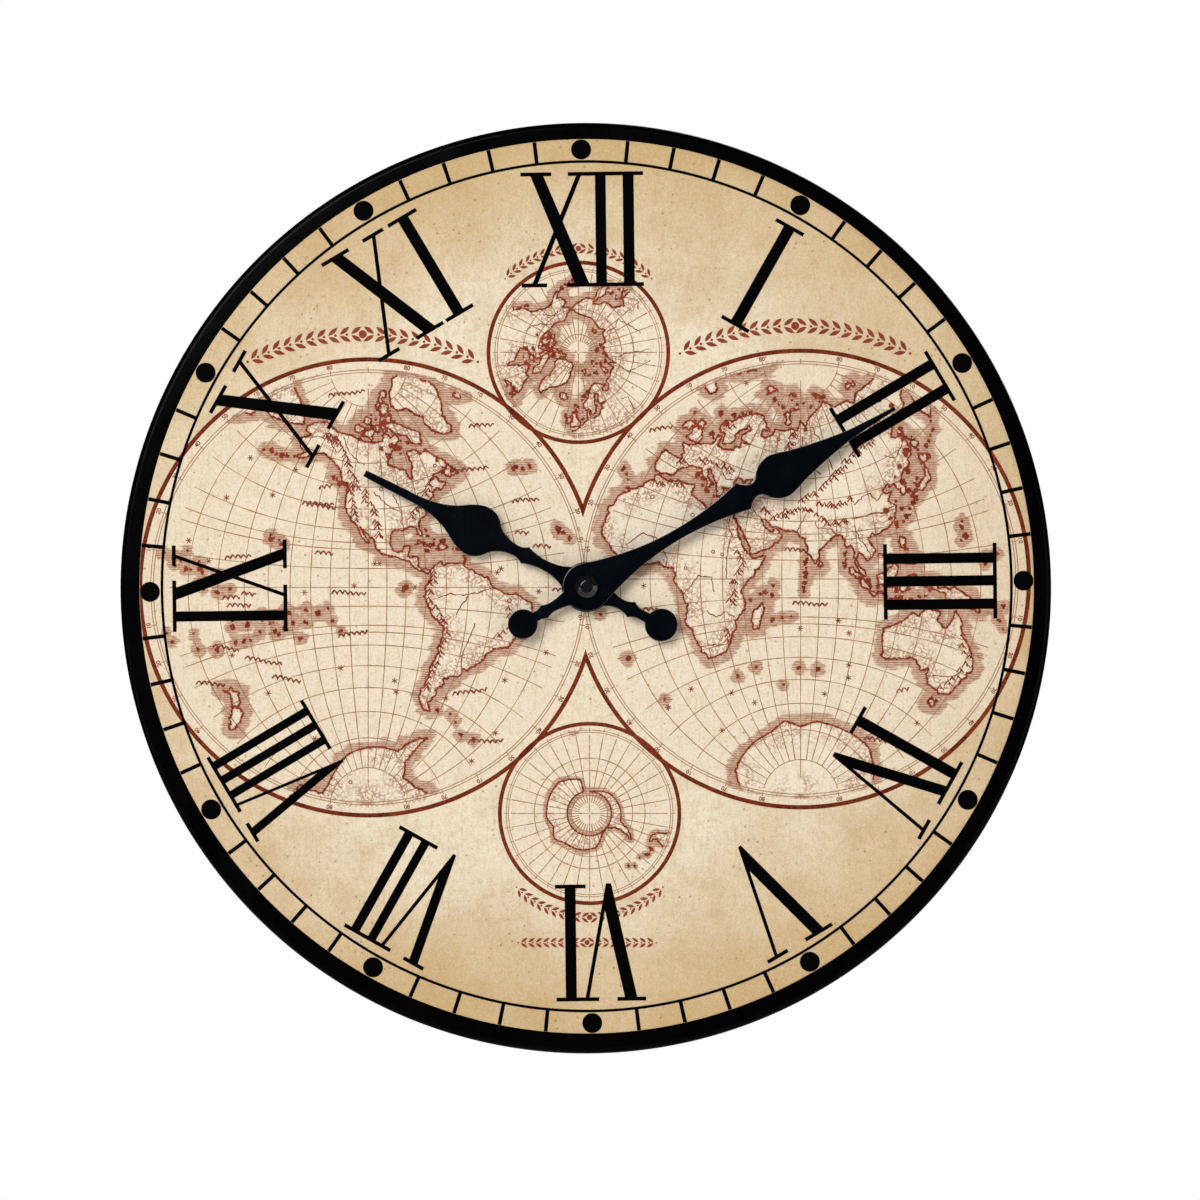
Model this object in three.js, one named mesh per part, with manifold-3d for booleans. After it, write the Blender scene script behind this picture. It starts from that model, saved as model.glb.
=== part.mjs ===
// A round wall clock: a printed dial on a black-edged board, spade hands, and a battery movement behind.
// Lengths are millimetres. +Z is up, the dial faces -Y, and the wall plane is Y = 0.
// Pieces are drawn as seen from the front, with X to the right, Y up and Z, called depth here, running
// from the wall towards the viewer. The hands' axis is X = Y = 0. The clock is stood upright at the end.

import * as THREE from "three";
import { mergeVertices } from "three/addons/utils/BufferGeometryUtils.js";
import Module from "manifold-3d";

const wasm = await Module();
wasm.setup();

// Gaps between neighbouring pieces
const SEAT_GAP = 0.05; // faces that rest on each other
const PRESS_GAP = 0.08; // round a shaft that is pressed into its hole
const RUN_GAP = 0.1; // round a shaft that turns in its hole
const FREE_GAP = 0.3; // pieces that pass or lie beside each other
const CUT_PAST = 1; // how far a cut runs past the face that it opens

// Board and dial
const BOARD_RADIUS = 170;
const BOARD_THICKNESS = 5;
const BOARD_EDGE_ROUND = 2.2;
const BOARD_BACK_BEVEL = 0.6;
const BOARD_OFFSET = { x: -0.42, y: -0.48 }; // the rim stands this far off the hands' axis
const PRINT_RADIUS = 163.2;
const PRINT_THICKNESS = 0.3;
const PRINT_OFFSET = { x: -0.09, y: 0.23 };
const BOARD_HOLE_GAP = 0.9; // round the threaded bushing, wide enough for both offsets

// Fixing stack on the threaded bushing
const GASKET_RADIUS = 15;
const GASKET_THICKNESS = 1;
const WASHER_RADIUS = 7.4;
const WASHER_THICKNESS = 0.5;
const NUT_FLATS = 11;
const NUT_THICKNESS = 2.4;
const THREAD_RADIUS = 4;
const THREAD_PROUD = 0.6;
const FLANGE_RADIUS = 5.6;
const FLANGE_THICKNESS = 0.95;

// Hands. A stretch of a hand's outline runs to a point, bending towards another one on the way. Each
// point is a distance along the hand from its axis and a half width.
const HAND_THICKNESS = 0.5;
const HAND_STANDOFF = 0.6; // clear room behind each hand
const HAND_COLLAR_RADIUS = 3.4;
const HAND_COLLAR_GAP = 0.2; // between the hour hand's collar and the bushing
const HOUR_TUBE_PROUD = 0.5;
const HOUR_HAND = {
  angle: 297.1,
  hub: 9.2,
  tip: [91, 1.2],
  blade: [
    { via: [80, 1.6], to: [70, 1.6] }, // slender point
    { via: [60.3, 1.9], to: [54, 5.8] }, // swelling spade
    { via: [48.6, 9.45], to: [45, 9.45] }, // widest part of the spade
    { via: [40.9, 9.45], to: [38.5, 6.2] }, // shoulder
    { via: [35.6, 2.3], to: [29, 2] }, // neck
    { via: [26.8, 2], to: [25.4, 3.4] }, // cusp
    { via: [22, 1.95], to: [18, 1.85] }, // waist
  ],
  root: { via: [11.8, 1.85], along: 8.2 }, // where the waist meets the hub
  tailRoot: { via: [-10.3, 2], along: -8.4 },
  tail: [
    { via: [-16.4, 1.95], to: [-18.1, 3.2] }, // cusp
    { via: [-20, 1.8], to: [-22, 1.8] }, // neck
  ],
  tailWaist: [-14, 1.95],
  ball: { along: -30.4, radius: 6, neck: 1.9 },
};
const MINUTE_HAND = {
  angle: 59.9,
  hub: 8.8,
  tip: [129.7, 0.7],
  blade: [
    { via: [121, 1.05], to: [112, 1.65] }, // slender point
    { via: [101.5, 2.75], to: [88, 6.25] }, // long spade
    { via: [82.6, 8.2], to: [80.7, 8.25] }, // widest part of the spade
    { via: [77, 8.25], to: [74, 5.15] }, // shoulder
    { via: [72.6, 2.5], to: [70.6, 2.5] }, // neck
    { via: [68.4, 2.5], to: [65.9, 5.45] }, // cusp
    { via: [52.5, 2.05], to: [38, 2.05] }, // waist
  ],
  root: { via: [20.5, 2.05], along: 2.9 },
  tailRoot: { via: [-10.8, 2.05], along: -8.3 },
  tail: [
    { via: [-16.5, 1.85], to: [-18, 2.85] }, // cusp
    { via: [-19.3, 1.9], to: [-20.5, 1.9] }, // neck
  ],
  tailWaist: [-14.3, 1.85],
  ball: { along: -27, radius: 5.45, neck: 1.95 },
};
const CAP_RADIUS = 4.05;
const CAP_TOP_RADIUS = 2.7;
const CAP_RIM_HEIGHT = 1.1;
const CAP_HEIGHT = 3.2;
const CAP_ROOF = 0.8; // solid above the cap nut's blind hole

// Movement case, battery bay and covers
const CASE_WALL = 1.2;
const CASE_CORNER = 3;
const COVER_THICKNESS = 1.4;
const PLATE_THICKNESS = 0.8;
const PILLAR_RADIUS = 1.8;
const PILLAR_INSET = 2.6; // pillar centre to the chamber wall
const WHEEL_ROOM = 2.3; // centre wheel to the battery bay's wall
const HANGER_RADIUS = 10;
const HANGER_BAND = 3.6;
const HANGER_RISE = 1.5; // straight part of the loop above the case
const HANGER_THICKNESS = 2.4;
const HANGER_NOTCH = 1.6;
const BOSS_RADIUS = 1.3;
const BOSS_HOLE_DEPTH = 1.7;

// Battery, size AA
const BATTERY_RADIUS = 7.1;
const BATTERY_LENGTH = 50.5;
const BATTERY_NUB_RADIUS = 2.75;
const BATTERY_NUB_LENGTH = 1.3;
const BATTERY_END_BEVEL = 0.5;
const BATTERY_SINK = 0.6; // below the wall plane
const BAY_GAP = 0.3;

// Battery contacts
const CONTACT_ROOM = 1.6; // battery end to the end of its bay
const CONTACT_THICKNESS = 0.35;
const CONTACT_WIDTH = 4.5;
const CONTACT_LEAF = 5.5; // half length of the sprung leaf
const CONTACT_WALL_GAP = 0.2;
const CONTACT_LAP = 3; // how far a contact lies over the circuit board

// Wheels. A pinion's teeth are long and its wheel's are short, so that small pinions run freely.
const PRESSURE_ANGLE = Math.PI / 9;
const TOOTH_SHIFT = 0.4;
const TOOTH_TIP = 0.85; // tip height of a standard tooth, in modules
const TOOTH_ROOT = 1.3; // root depth of a standard tooth, in modules
const BACKLASH = 0.3; // in modules
const TRAIN_MODULE = 0.26; // third pinion and centre wheel
const ROTOR_MODULE = 0.22; // rotor pinion and intermediate wheel
const TEETH = {
  rotorPinion: 8,
  intermediateWheel: 48,
  intermediatePinion: 10,
  secondWheel: 50,
  secondPinion: 8,
  thirdWheel: 60,
  thirdPinion: 8,
  centreWheel: 64,
  cannonPinion: 12,
  workWheel: 36,
  workPinion: 10,
  hourWheel: 40,
};
const WHEEL_THICKNESS = 0.75;
const CANNON_LENGTH = 1.4;
const LEVEL_GAP = 0.8; // between the levels of the going train
const PINION_OVERLAP = 0.2; // a pinion stands past its wheel by this much
const ARBOR_RADIUS = 0.75;
const PIVOT_RADIUS = 0.45;
const MINUTE_ARBOR_RADIUS = 1.5;
const MINUTE_THREAD_RADIUS = 1.2;
const CENTRE_SEAT_RADIUS = 2; // the centre wheel grips the minute arbor here
const HOUR_TUBE_RADIUS = 2.5;
const WORK_ARBOR_RADIUS = 1.1;

// Directions of the arbors, anticlockwise from the right as seen from the front
const WORK_BEARING = Math.PI;
const THIRD_BEARING = (95 / 180) * Math.PI;
const INTERMEDIATE_BEARING = (20 / 180) * Math.PI;
const ROTOR_BEARING = 0;

// Setting knob
const KNOB_RADIUS = 4.8;
const KNOB_GRIPS = 24;
const KNOB_GRIP_DEPTH = 0.35;
const KNOB_HEIGHT = 3;
const KNOB_SINK = 0.4; // below the wall plane
const KNOB_ROOF = 0.8; // solid over the knob's blind hole
const KNOB_SLOT_WIDTH = 1.1;
const KNOB_SLOT_DEPTH = 0.4;

// Stepping motor
const MAGNET_RADIUS = 2;
const MAGNET_HEIGHT = 2.2;
const STATOR_THICKNESS = 0.8;
const STATOR_AIR_GAP = 0.6;
const STATOR_WEB = 0.7;
const STATOR_ARM = 3.2;
const STATOR_POST_RADIUS = 1.4;
const CORE_LENGTH = 27;
const CORE_WIDTH = 3;
const CORE_THICKNESS = 0.8;
const BOBBIN_END_GAP = 0.8; // bobbin to the stator's arms
const BOBBIN_RADIUS = 2.1;
const BOBBIN_FLANGE_RADIUS = 3.3;
const BOBBIN_FLANGE = 0.9;
const WINDING_RADIUS = 3;
const COIL_GAP = 0.6; // bobbin to the stator and to the case

// Circuit board
const CIRCUIT_WIDTH = 10.7;
const CIRCUIT_HEIGHT = 18;
const CIRCUIT_THICKNESS = 0.8;
const CHIP_RADIUS = 3;
const CHIP_HEIGHT = 1.2;
const CRYSTAL_RADIUS = 1;
const CRYSTAL_LENGTH = 6;
const COMPONENT_ROOM = 4; // middle of the chip and the crystal to the circuit board's right edge
const COMPONENT_GAP = 1; // crystal to chip and to the circuit board's edge

// Fineness of round surfaces
const BOARD_SIDES = 112;
const ROUND_SIDES = 24;
const SMALL_SIDES = 12;
const CURVE_STEPS = 5;

// Depths of the movement, from the wall plane
const batteryDepth = BATTERY_SINK + BATTERY_RADIUS;
const caseFloor = batteryDepth + BATTERY_RADIUS + BAY_GAP;
const caseFront = caseFloor + CASE_WALL;
const flangeFront = caseFloor - SEAT_GAP;
const flangeBack = flangeFront - FLANGE_THICKNESS;
const hourWheelFront = flangeBack - FREE_GAP;
const hourWheelBack = hourWheelFront - WHEEL_THICKNESS;
const cannonFront = hourWheelBack - FREE_GAP;
const cannonBack = cannonFront - CANNON_LENGTH;
const plateFront = cannonBack - FREE_GAP;
const plateBack = plateFront - PLATE_THICKNESS;
const centreWheelFront = plateBack - FREE_GAP;
const centreWheelBack = centreWheelFront - WHEEL_THICKNESS;
const minuteArborBack = centreWheelBack - FREE_GAP;
const thirdWheelFront = minuteArborBack - FREE_GAP;
const thirdWheelBack = thirdWheelFront - WHEEL_THICKNESS;
const secondWheelFront = thirdWheelBack - LEVEL_GAP;
const secondWheelBack = secondWheelFront - WHEEL_THICKNESS;
const intermediateWheelFront = secondWheelBack - LEVEL_GAP;
const intermediateWheelBack = intermediateWheelFront - WHEEL_THICKNESS;
const rotorPinionFront = intermediateWheelFront + PINION_OVERLAP;
const arborBack = intermediateWheelBack - FREE_GAP;
const bossFront = arborBack - FREE_GAP;
const pivotBack = bossFront - BOSS_HOLE_DEPTH + FREE_GAP;
const statorBack = secondWheelBack;
const statorFront = statorBack + STATOR_THICKNESS;
const coreFront = statorBack - SEAT_GAP;
const coreBack = coreFront - CORE_THICKNESS;
const coilDepth = (coreFront + coreBack) / 2;
const circuitFront = plateBack - SEAT_GAP;
const circuitBack = circuitFront - CIRCUIT_THICKNESS;
const contactFront = circuitBack - SEAT_GAP;
const contactBack = contactFront - CONTACT_WIDTH;

// Depths of the board, the fixing stack and the hands
const gasketBack = caseFront + SEAT_GAP;
const gasketFront = gasketBack + GASKET_THICKNESS;
const boardBack = gasketFront + SEAT_GAP;
const boardFront = boardBack + BOARD_THICKNESS;
const printBack = boardFront + SEAT_GAP;
const printFront = printBack + PRINT_THICKNESS;
const washerBack = printFront + SEAT_GAP;
const washerFront = washerBack + WASHER_THICKNESS;
const nutBack = washerFront + SEAT_GAP;
const nutFront = nutBack + NUT_THICKNESS;
const bushingFront = nutFront + THREAD_PROUD;
const hourHandBack = bushingFront + HAND_STANDOFF;
const hourHandFront = hourHandBack + HAND_THICKNESS;
const hourTubeFront = hourHandFront + HOUR_TUBE_PROUD;
const minuteHandBack = hourTubeFront + HAND_STANDOFF;
const minuteHandFront = minuteHandBack + HAND_THICKNESS;
const capBack = minuteHandFront + SEAT_GAP;
const capFront = capBack + CAP_HEIGHT;
const minuteArborFront = capFront - CAP_ROOF - FREE_GAP;

// Sizes of the wheels
const thirdDistance = (TRAIN_MODULE * (TEETH.thirdPinion + TEETH.centreWheel)) / 2;
const secondModule = (2 * thirdDistance) / (TEETH.secondPinion + TEETH.thirdWheel);
const centreWheelReach = tipRadius(wheelOf(TEETH.centreWheel, TRAIN_MODULE));
const workDistance = centreWheelReach + FREE_GAP + WORK_ARBOR_RADIUS;
const cannonModule = (2 * workDistance) / (TEETH.cannonPinion + TEETH.workWheel);
const hourModule = (2 * workDistance) / (TEETH.workPinion + TEETH.hourWheel);
const intermediateDistance = centreWheelReach + FREE_GAP + ARBOR_RADIUS;
const intermediateTeeth = TEETH.intermediatePinion + TEETH.secondWheel;
const intermediateModule = (2 * intermediateDistance) / intermediateTeeth;
const rotorDistance = (ROTOR_MODULE * (TEETH.rotorPinion + TEETH.intermediateWheel)) / 2;

// Places of the arbors
const workPlace = polar(workDistance, WORK_BEARING);
const thirdPlace = polar(thirdDistance, THIRD_BEARING);
const intermediatePlace = polar(intermediateDistance, INTERMEDIATE_BEARING);
const rotorPlace = polar(rotorDistance, ROTOR_BEARING).add(intermediatePlace);
const rearPivots = [new THREE.Vector2(0, 0), thirdPlace, intermediatePlace, rotorPlace];

// Outline of the case, its train chamber above and its battery bay below
const statorReach = MAGNET_RADIUS + STATOR_AIR_GAP + STATOR_WEB;
const coilX = rotorPlace.x + statorReach + COIL_GAP + BOBBIN_FLANGE_RADIUS;
const bayHalf = BATTERY_LENGTH / 2 + CONTACT_ROOM;
const chamberHalf = Math.max(bayHalf, coilX + BOBBIN_FLANGE_RADIUS + COIL_GAP);
const chamberBottom = -(centreWheelReach + WHEEL_ROOM);
const pillarRoom = PILLAR_INSET + PILLAR_RADIUS + COIL_GAP;
const chamberTop = chamberBottom + CORE_LENGTH + 2 * pillarRoom;
const bayTop = chamberBottom - CASE_WALL;
const batteryY = bayTop - BAY_GAP - BATTERY_RADIUS;
const bayBottom = batteryY - BATTERY_RADIUS - BAY_GAP;
const caseHalf = chamberHalf + CASE_WALL;
const caseTop = chamberTop + CASE_WALL;
const caseBottom = bayBottom - CASE_WALL;
const coilY = (chamberTop + chamberBottom) / 2;
const bobbinLength = CORE_LENGTH - 2 * (STATOR_ARM + BOBBIN_END_GAP);
const pillarX = chamberHalf - PILLAR_INSET;
const pillars = [
  new THREE.Vector2(-pillarX, chamberBottom + PILLAR_INSET),
  new THREE.Vector2(pillarX, chamberBottom + PILLAR_INSET),
  new THREE.Vector2(-pillarX, chamberTop - PILLAR_INSET),
  new THREE.Vector2(pillarX, chamberTop - PILLAR_INSET),
];
const circuitLeft = PILLAR_RADIUS + FREE_GAP - pillarX;
const circuitTop = chamberTop - FREE_GAP;
const circuitBottom = circuitTop - CIRCUIT_HEIGHT;
const crystalBottom = circuitBottom + COMPONENT_GAP;
const componentX = circuitLeft + CIRCUIT_WIDTH - COMPONENT_ROOM;

// A place given by its distance from the hands' axis and its direction
function polar(distance, bearing) {
  return new THREE.Vector2(distance * Math.cos(bearing), distance * Math.sin(bearing));
}

// Toothed wheels and pinions
function wheelOf(teeth, module) {
  return { teeth, module, shift: -TOOTH_SHIFT, flankSteps: 1 };
}

function pinionOf(teeth, module) {
  return { teeth, module, shift: TOOTH_SHIFT, flankSteps: 2 };
}

function tipRadius({ teeth, module, shift }) {
  return module * (teeth / 2 + TOOTH_TIP + shift);
}

// Angle by which an involute has curled away from its start, at a given pressure angle
function involute(angle) {
  return Math.tan(angle) - angle;
}

// Outline of a toothed wheel with involute flanks. One tooth is centred on the given direction.
function toothedOutline(gear, direction) {
  const { teeth, module, shift, flankSteps } = gear;
  const pitchRadius = (module * teeth) / 2;
  const baseRadius = pitchRadius * Math.cos(PRESSURE_ANGLE);
  const tip = tipRadius(gear);
  const root = pitchRadius - module * (TOOTH_ROOT - shift);
  const flankStart = Math.max(baseRadius, root);
  const pitchHalf = (Math.PI / 2 + 2 * shift * Math.tan(PRESSURE_ANGLE) - BACKLASH / 2) / teeth;
  const halfAngle = (radius) => {
    const pressure = Math.acos(Math.min(1, baseRadius / radius));
    return pitchHalf + involute(PRESSURE_ANGLE) - involute(pressure);
  };
  const flank = [[root, halfAngle(flankStart)]];
  for (let step = 1; step <= flankSteps; step++) {
    const radius = flankStart + ((tip - flankStart) * step) / flankSteps;
    flank.push([radius, halfAngle(radius)]);
  }
  const points = [];
  for (let tooth = 0; tooth < teeth; tooth++) {
    const middle = direction + (2 * Math.PI * tooth) / teeth;
    for (const [radius, half] of flank) points.push(polar(radius, middle - half));
    for (const [radius, half] of flank.toReversed()) points.push(polar(radius, middle + half));
  }
  return new THREE.Shape(points);
}

// Outlines of two wheels in mesh: a tooth of the first points at a gap of the second.
function meshedOutlines(first, second, bearing) {
  return [
    toothedOutline(first, bearing),
    toothedOutline(second, bearing + Math.PI - Math.PI / second.teeth),
  ];
}

// Closed solids from outlines and profiles
function plate(outline, back, front) {
  const settings = { depth: front - back, bevelEnabled: false, curveSegments: CURVE_STEPS };
  return new THREE.ExtrudeGeometry(outline, settings).translate(0, 0, back);
}

// A turned piece. The profile is a list of radius and depth. It starts and ends on the axis, or is a ring.
function turned(profile, sides = ROUND_SIDES) {
  const points = profile.map(([radius, depth]) => new THREE.Vector2(radius, depth));
  if (profile[0][0] > 0) points.push(points[0].clone());
  return new THREE.LatheGeometry(points, sides).rotateX(Math.PI / 2);
}

function disc(radius, back, front, sides = ROUND_SIDES) {
  return turned([[0, back], [radius, back], [radius, front], [0, front]], sides);
}

// A round cutting tool that runs past both faces of what it opens
function drill(radius, back, front, sides = ROUND_SIDES) {
  return disc(radius, back - CUT_PAST, front + CUT_PAST, sides);
}

function ring(outer, inner, back, front, sides = ROUND_SIDES) {
  return turned([[outer, back], [outer, front], [inner, front], [inner, back]], sides);
}

// A stepped shaft from a list of radius and front depth for each step
function shaft(back, steps, sides = SMALL_SIDES) {
  const profile = [[0, back]];
  let depth = back;
  for (const [radius, front] of steps) {
    profile.push([radius, depth], [radius, front]);
    depth = front;
  }
  profile.push([0, depth]);
  return turned(profile, sides);
}

function block(left, right, bottom, top, back, front) {
  const made = new THREE.BoxGeometry(right - left, top - bottom, front - back);
  return made.translate((left + right) / 2, (bottom + top) / 2, (back + front) / 2);
}

function placed(geometry, { x, y }) {
  return geometry.translate(x, y, 0);
}

function rectangle(left, right, bottom, top, corner) {
  const shape = new THREE.Shape();
  shape.absarc(right - corner, top - corner, corner, 0, Math.PI / 2, false);
  shape.absarc(left + corner, top - corner, corner, Math.PI / 2, Math.PI, false);
  shape.absarc(left + corner, bottom + corner, corner, Math.PI, 1.5 * Math.PI, false);
  shape.absarc(right - corner, bottom + corner, corner, 1.5 * Math.PI, 2 * Math.PI, false);
  return shape;
}

// Joining and cutting
function solid(geometry) {
  const bare = geometry.index ? geometry.toNonIndexed() : geometry.clone();
  bare.deleteAttribute("normal");
  bare.deleteAttribute("uv");
  const merged = mergeVertices(bare);
  const corners = merged.index.array;
  const kept = [];
  for (let i = 0; i < corners.length; i += 3) {
    const [a, b, c] = corners.subarray(i, i + 3);
    if (a !== b && b !== c && c !== a) kept.push(a, b, c);
  }
  const vertProperties = merged.attributes.position.array;
  const triVerts = Uint32Array.from(kept);
  return new wasm.Manifold(new wasm.Mesh({ numProp: 3, vertProperties, triVerts }));
}

function surface(made) {
  const mesh = made.getMesh();
  const positions = new THREE.BufferAttribute(mesh.vertProperties, mesh.numProp);
  const geometry = new THREE.BufferGeometry().setAttribute("position", positions);
  return geometry.setIndex(new THREE.BufferAttribute(mesh.triVerts, 1));
}

function join(...geometries) {
  return surface(geometries.map(solid).reduce((whole, next) => whole.add(next)));
}

function cut(geometry, ...tools) {
  return surface(tools.map(solid).reduce((rest, tool) => rest.subtract(tool), solid(geometry)));
}

// Board, dial and fixing stack
function dialBoard() {
  const hole = THREAD_RADIUS + BOARD_HOLE_GAP;
  const roundSteps = 5;
  const rim = [];
  for (let step = 0; step <= roundSteps; step++) {
    const turn = (Math.PI / 2) * (step / roundSteps);
    const radius = BOARD_RADIUS - BOARD_EDGE_ROUND * (1 - Math.cos(turn));
    rim.push([radius, boardFront - BOARD_EDGE_ROUND * (1 - Math.sin(turn))]);
  }
  const body = turned(
    [
      [0, boardBack],
      [BOARD_RADIUS - BOARD_BACK_BEVEL, boardBack],
      [BOARD_RADIUS, boardBack + BOARD_BACK_BEVEL],
      ...rim,
      [0, boardFront],
    ],
    BOARD_SIDES,
  );
  return cut(placed(body, BOARD_OFFSET), drill(hole, boardBack, boardFront));
}

function dialPrint() {
  const hole = THREAD_RADIUS + BOARD_HOLE_GAP;
  const sheet = placed(disc(PRINT_RADIUS, printBack, printFront, BOARD_SIDES), PRINT_OFFSET);
  return cut(sheet, drill(hole, printBack, printFront));
}

function fixingNut() {
  const outline = new THREE.Shape();
  const corner = NUT_FLATS / 2 / Math.cos(Math.PI / 6);
  for (let side = 0; side < 6; side++) {
    const { x, y } = polar(corner, (side * Math.PI) / 3);
    if (side === 0) outline.moveTo(x, y);
    else outline.lineTo(x, y);
  }
  const bore = drill(THREAD_RADIUS + PRESS_GAP, nutBack, nutFront);
  return cut(plate(outline, nutBack, nutFront), bore);
}

function threadedBushing() {
  const bore = HOUR_TUBE_RADIUS + RUN_GAP;
  return turned([
    [FLANGE_RADIUS, flangeBack],
    [FLANGE_RADIUS, flangeFront],
    [THREAD_RADIUS, flangeFront],
    [THREAD_RADIUS, bushingFront],
    [bore, bushingFront],
    [bore, flangeBack],
  ]);
}

// Hands. An outline is drawn down the right-hand side to the ball of the tail and up the mirrored left.
function handOutline(hand) {
  const onCircle = (radius, along) => [along, Math.sqrt(radius ** 2 - along ** 2)];
  const rootPoint = onCircle(hand.hub, hand.root.along);
  const tailPoint = onCircle(hand.hub, hand.tailRoot.along);
  const ballSine = hand.ball.neck / hand.ball.radius;
  const ballStart = Math.acos(ballSine);
  const blade = [hand.tip, ...hand.blade, { via: hand.root.via, to: rootPoint }];
  const tail = [tailPoint, { via: hand.tailRoot.via, to: hand.tailWaist }, ...hand.tail];
  const shape = new THREE.Shape();
  const bend = ([viaAlong, viaHalf], [along, half], side) => {
    shape.quadraticCurveTo(side * viaHalf, viaAlong, side * half, along);
  };
  const down = ([, ...stretches]) => {
    for (const { via, to } of stretches) bend(via, to, 1);
  };
  const up = (path) => {
    const points = [path[0], ...path.slice(1).map(({ to }) => to)];
    for (let i = path.length - 1; i > 0; i--) bend(path[i].via, points[i - 1], -1);
  };
  const rootTurn = Math.atan2(rootPoint[0], rootPoint[1]);
  const tailTurn = Math.atan2(tailPoint[0], tailPoint[1]);
  shape.moveTo(hand.tip[1], hand.tip[0]);
  down(blade);
  shape.absarc(0, 0, hand.hub, rootTurn, tailTurn, true);
  down(tail);
  shape.absarc(0, hand.ball.along, hand.ball.radius, ballStart, Math.PI - ballStart, true);
  shape.lineTo(-tail.at(-1).to[1], tail.at(-1).to[0]);
  up(tail);
  shape.absarc(0, 0, hand.hub, Math.PI - tailTurn, Math.PI - rootTurn, true);
  up(blade);
  return shape;
}

function clockwise(geometry, degrees) {
  return geometry.rotateZ((-degrees * Math.PI) / 180);
}

function hourHand() {
  const blade = plate(handOutline(HOUR_HAND), hourHandBack, hourHandFront);
  const collarBack = bushingFront + HAND_COLLAR_GAP;
  const collar = disc(HAND_COLLAR_RADIUS, collarBack, hourHandFront);
  const bore = drill(HOUR_TUBE_RADIUS + PRESS_GAP, collarBack, hourHandFront);
  return clockwise(cut(join(blade, collar), bore), HOUR_HAND.angle);
}

function minuteHand() {
  const blade = plate(handOutline(MINUTE_HAND), minuteHandBack, minuteHandFront);
  const bore = drill(MINUTE_THREAD_RADIUS + PRESS_GAP, minuteHandBack, minuteHandFront);
  return clockwise(cut(blade, bore), MINUTE_HAND.angle);
}

function capNut() {
  const bore = MINUTE_THREAD_RADIUS + PRESS_GAP;
  return turned([
    [bore, capBack],
    [CAP_RADIUS, capBack],
    [CAP_RADIUS, capBack + CAP_RIM_HEIGHT],
    [CAP_TOP_RADIUS, capFront],
    [0, capFront],
    [0, capFront - CAP_ROOF],
    [bore, capFront - CAP_ROOF],
  ]);
}

// Movement case and covers
function hangerLoop() {
  const loop = (radius, bottom) => {
    const shape = new THREE.Shape();
    shape.moveTo(-radius, bottom);
    shape.lineTo(radius, bottom);
    shape.absarc(0, caseTop + HANGER_RISE, radius, 0, Math.PI, false);
    return shape;
  };
  const eye = HANGER_RADIUS - HANGER_BAND;
  const notchY = caseTop + HANGER_RISE + eye;
  const band = plate(loop(HANGER_RADIUS, caseTop - CASE_WALL / 2), 0, HANGER_THICKNESS);
  const opening = plate(loop(eye, caseTop), -CUT_PAST, HANGER_THICKNESS + CUT_PAST);
  const notch = placed(drill(HANGER_NOTCH, 0, HANGER_THICKNESS, SMALL_SIDES), { x: 0, y: notchY });
  return cut(band, opening, notch);
}

function contactSlot(side) {
  const wall = side * chamberHalf;
  const inner = side * (chamberHalf - CONTACT_WALL_GAP - CONTACT_THICKNESS - FREE_GAP);
  const left = Math.min(wall, inner);
  const right = Math.max(wall, inner);
  return block(left, right, bayTop - CUT_PAST, chamberBottom + CUT_PAST, -CUT_PAST, contactFront + FREE_GAP);
}

function movementCase() {
  const shell = plate(rectangle(-caseHalf, caseHalf, caseBottom, caseTop, CASE_CORNER), 0, caseFront);
  const chamber = block(-chamberHalf, chamberHalf, chamberBottom, chamberTop, -CUT_PAST, caseFloor);
  const bay = block(-chamberHalf, chamberHalf, bayBottom, bayTop, -CUT_PAST, caseFloor);
  const seatFront = COVER_THICKNESS + SEAT_GAP;
  const past = caseHalf + CUT_PAST;
  const seat = block(-past, past, bayTop, caseTop + FREE_GAP, -CUT_PAST, seatFront);
  const bore = drill(THREAD_RADIUS + RUN_GAP, caseFloor, caseFront);
  const pivotEnd = caseFloor + CASE_WALL / 2;
  const pivotHole = disc(PIVOT_RADIUS + RUN_GAP, caseFloor - CUT_PAST, pivotEnd, SMALL_SIDES);
  const posts = pillars.map((place) =>
    placed(disc(PILLAR_RADIUS, plateFront + SEAT_GAP, caseFloor + CASE_WALL / 2, SMALL_SIDES), place),
  );
  const walls = cut(join(shell, hangerLoop()), chamber, bay, seat, bore, contactSlot(-1), contactSlot(1));
  return cut(join(walls, ...posts), placed(pivotHole, workPlace));
}

function rearCover() {
  const lid = plate(
    rectangle(-caseHalf, caseHalf, bayTop, caseTop, CASE_CORNER),
    0,
    COVER_THICKNESS,
  );
  const inside = COVER_THICKNESS / 2;
  const posts = pillars.map((place) =>
    placed(disc(PILLAR_RADIUS, inside, plateBack - SEAT_GAP, SMALL_SIDES), place),
  );
  const bosses = rearPivots.map((place) =>
    placed(disc(BOSS_RADIUS, inside, bossFront, SMALL_SIDES), place),
  );
  const holeBack = bossFront - BOSS_HOLE_DEPTH;
  const holes = rearPivots.map((place) =>
    placed(disc(PIVOT_RADIUS + RUN_GAP, holeBack, bossFront + CUT_PAST, SMALL_SIDES), place),
  );
  const knobHole = placed(drill(KNOB_RADIUS + FREE_GAP, 0, COVER_THICKNESS), workPlace);
  return cut(join(lid, ...posts, ...bosses), ...holes, knobHole);
}

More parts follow.
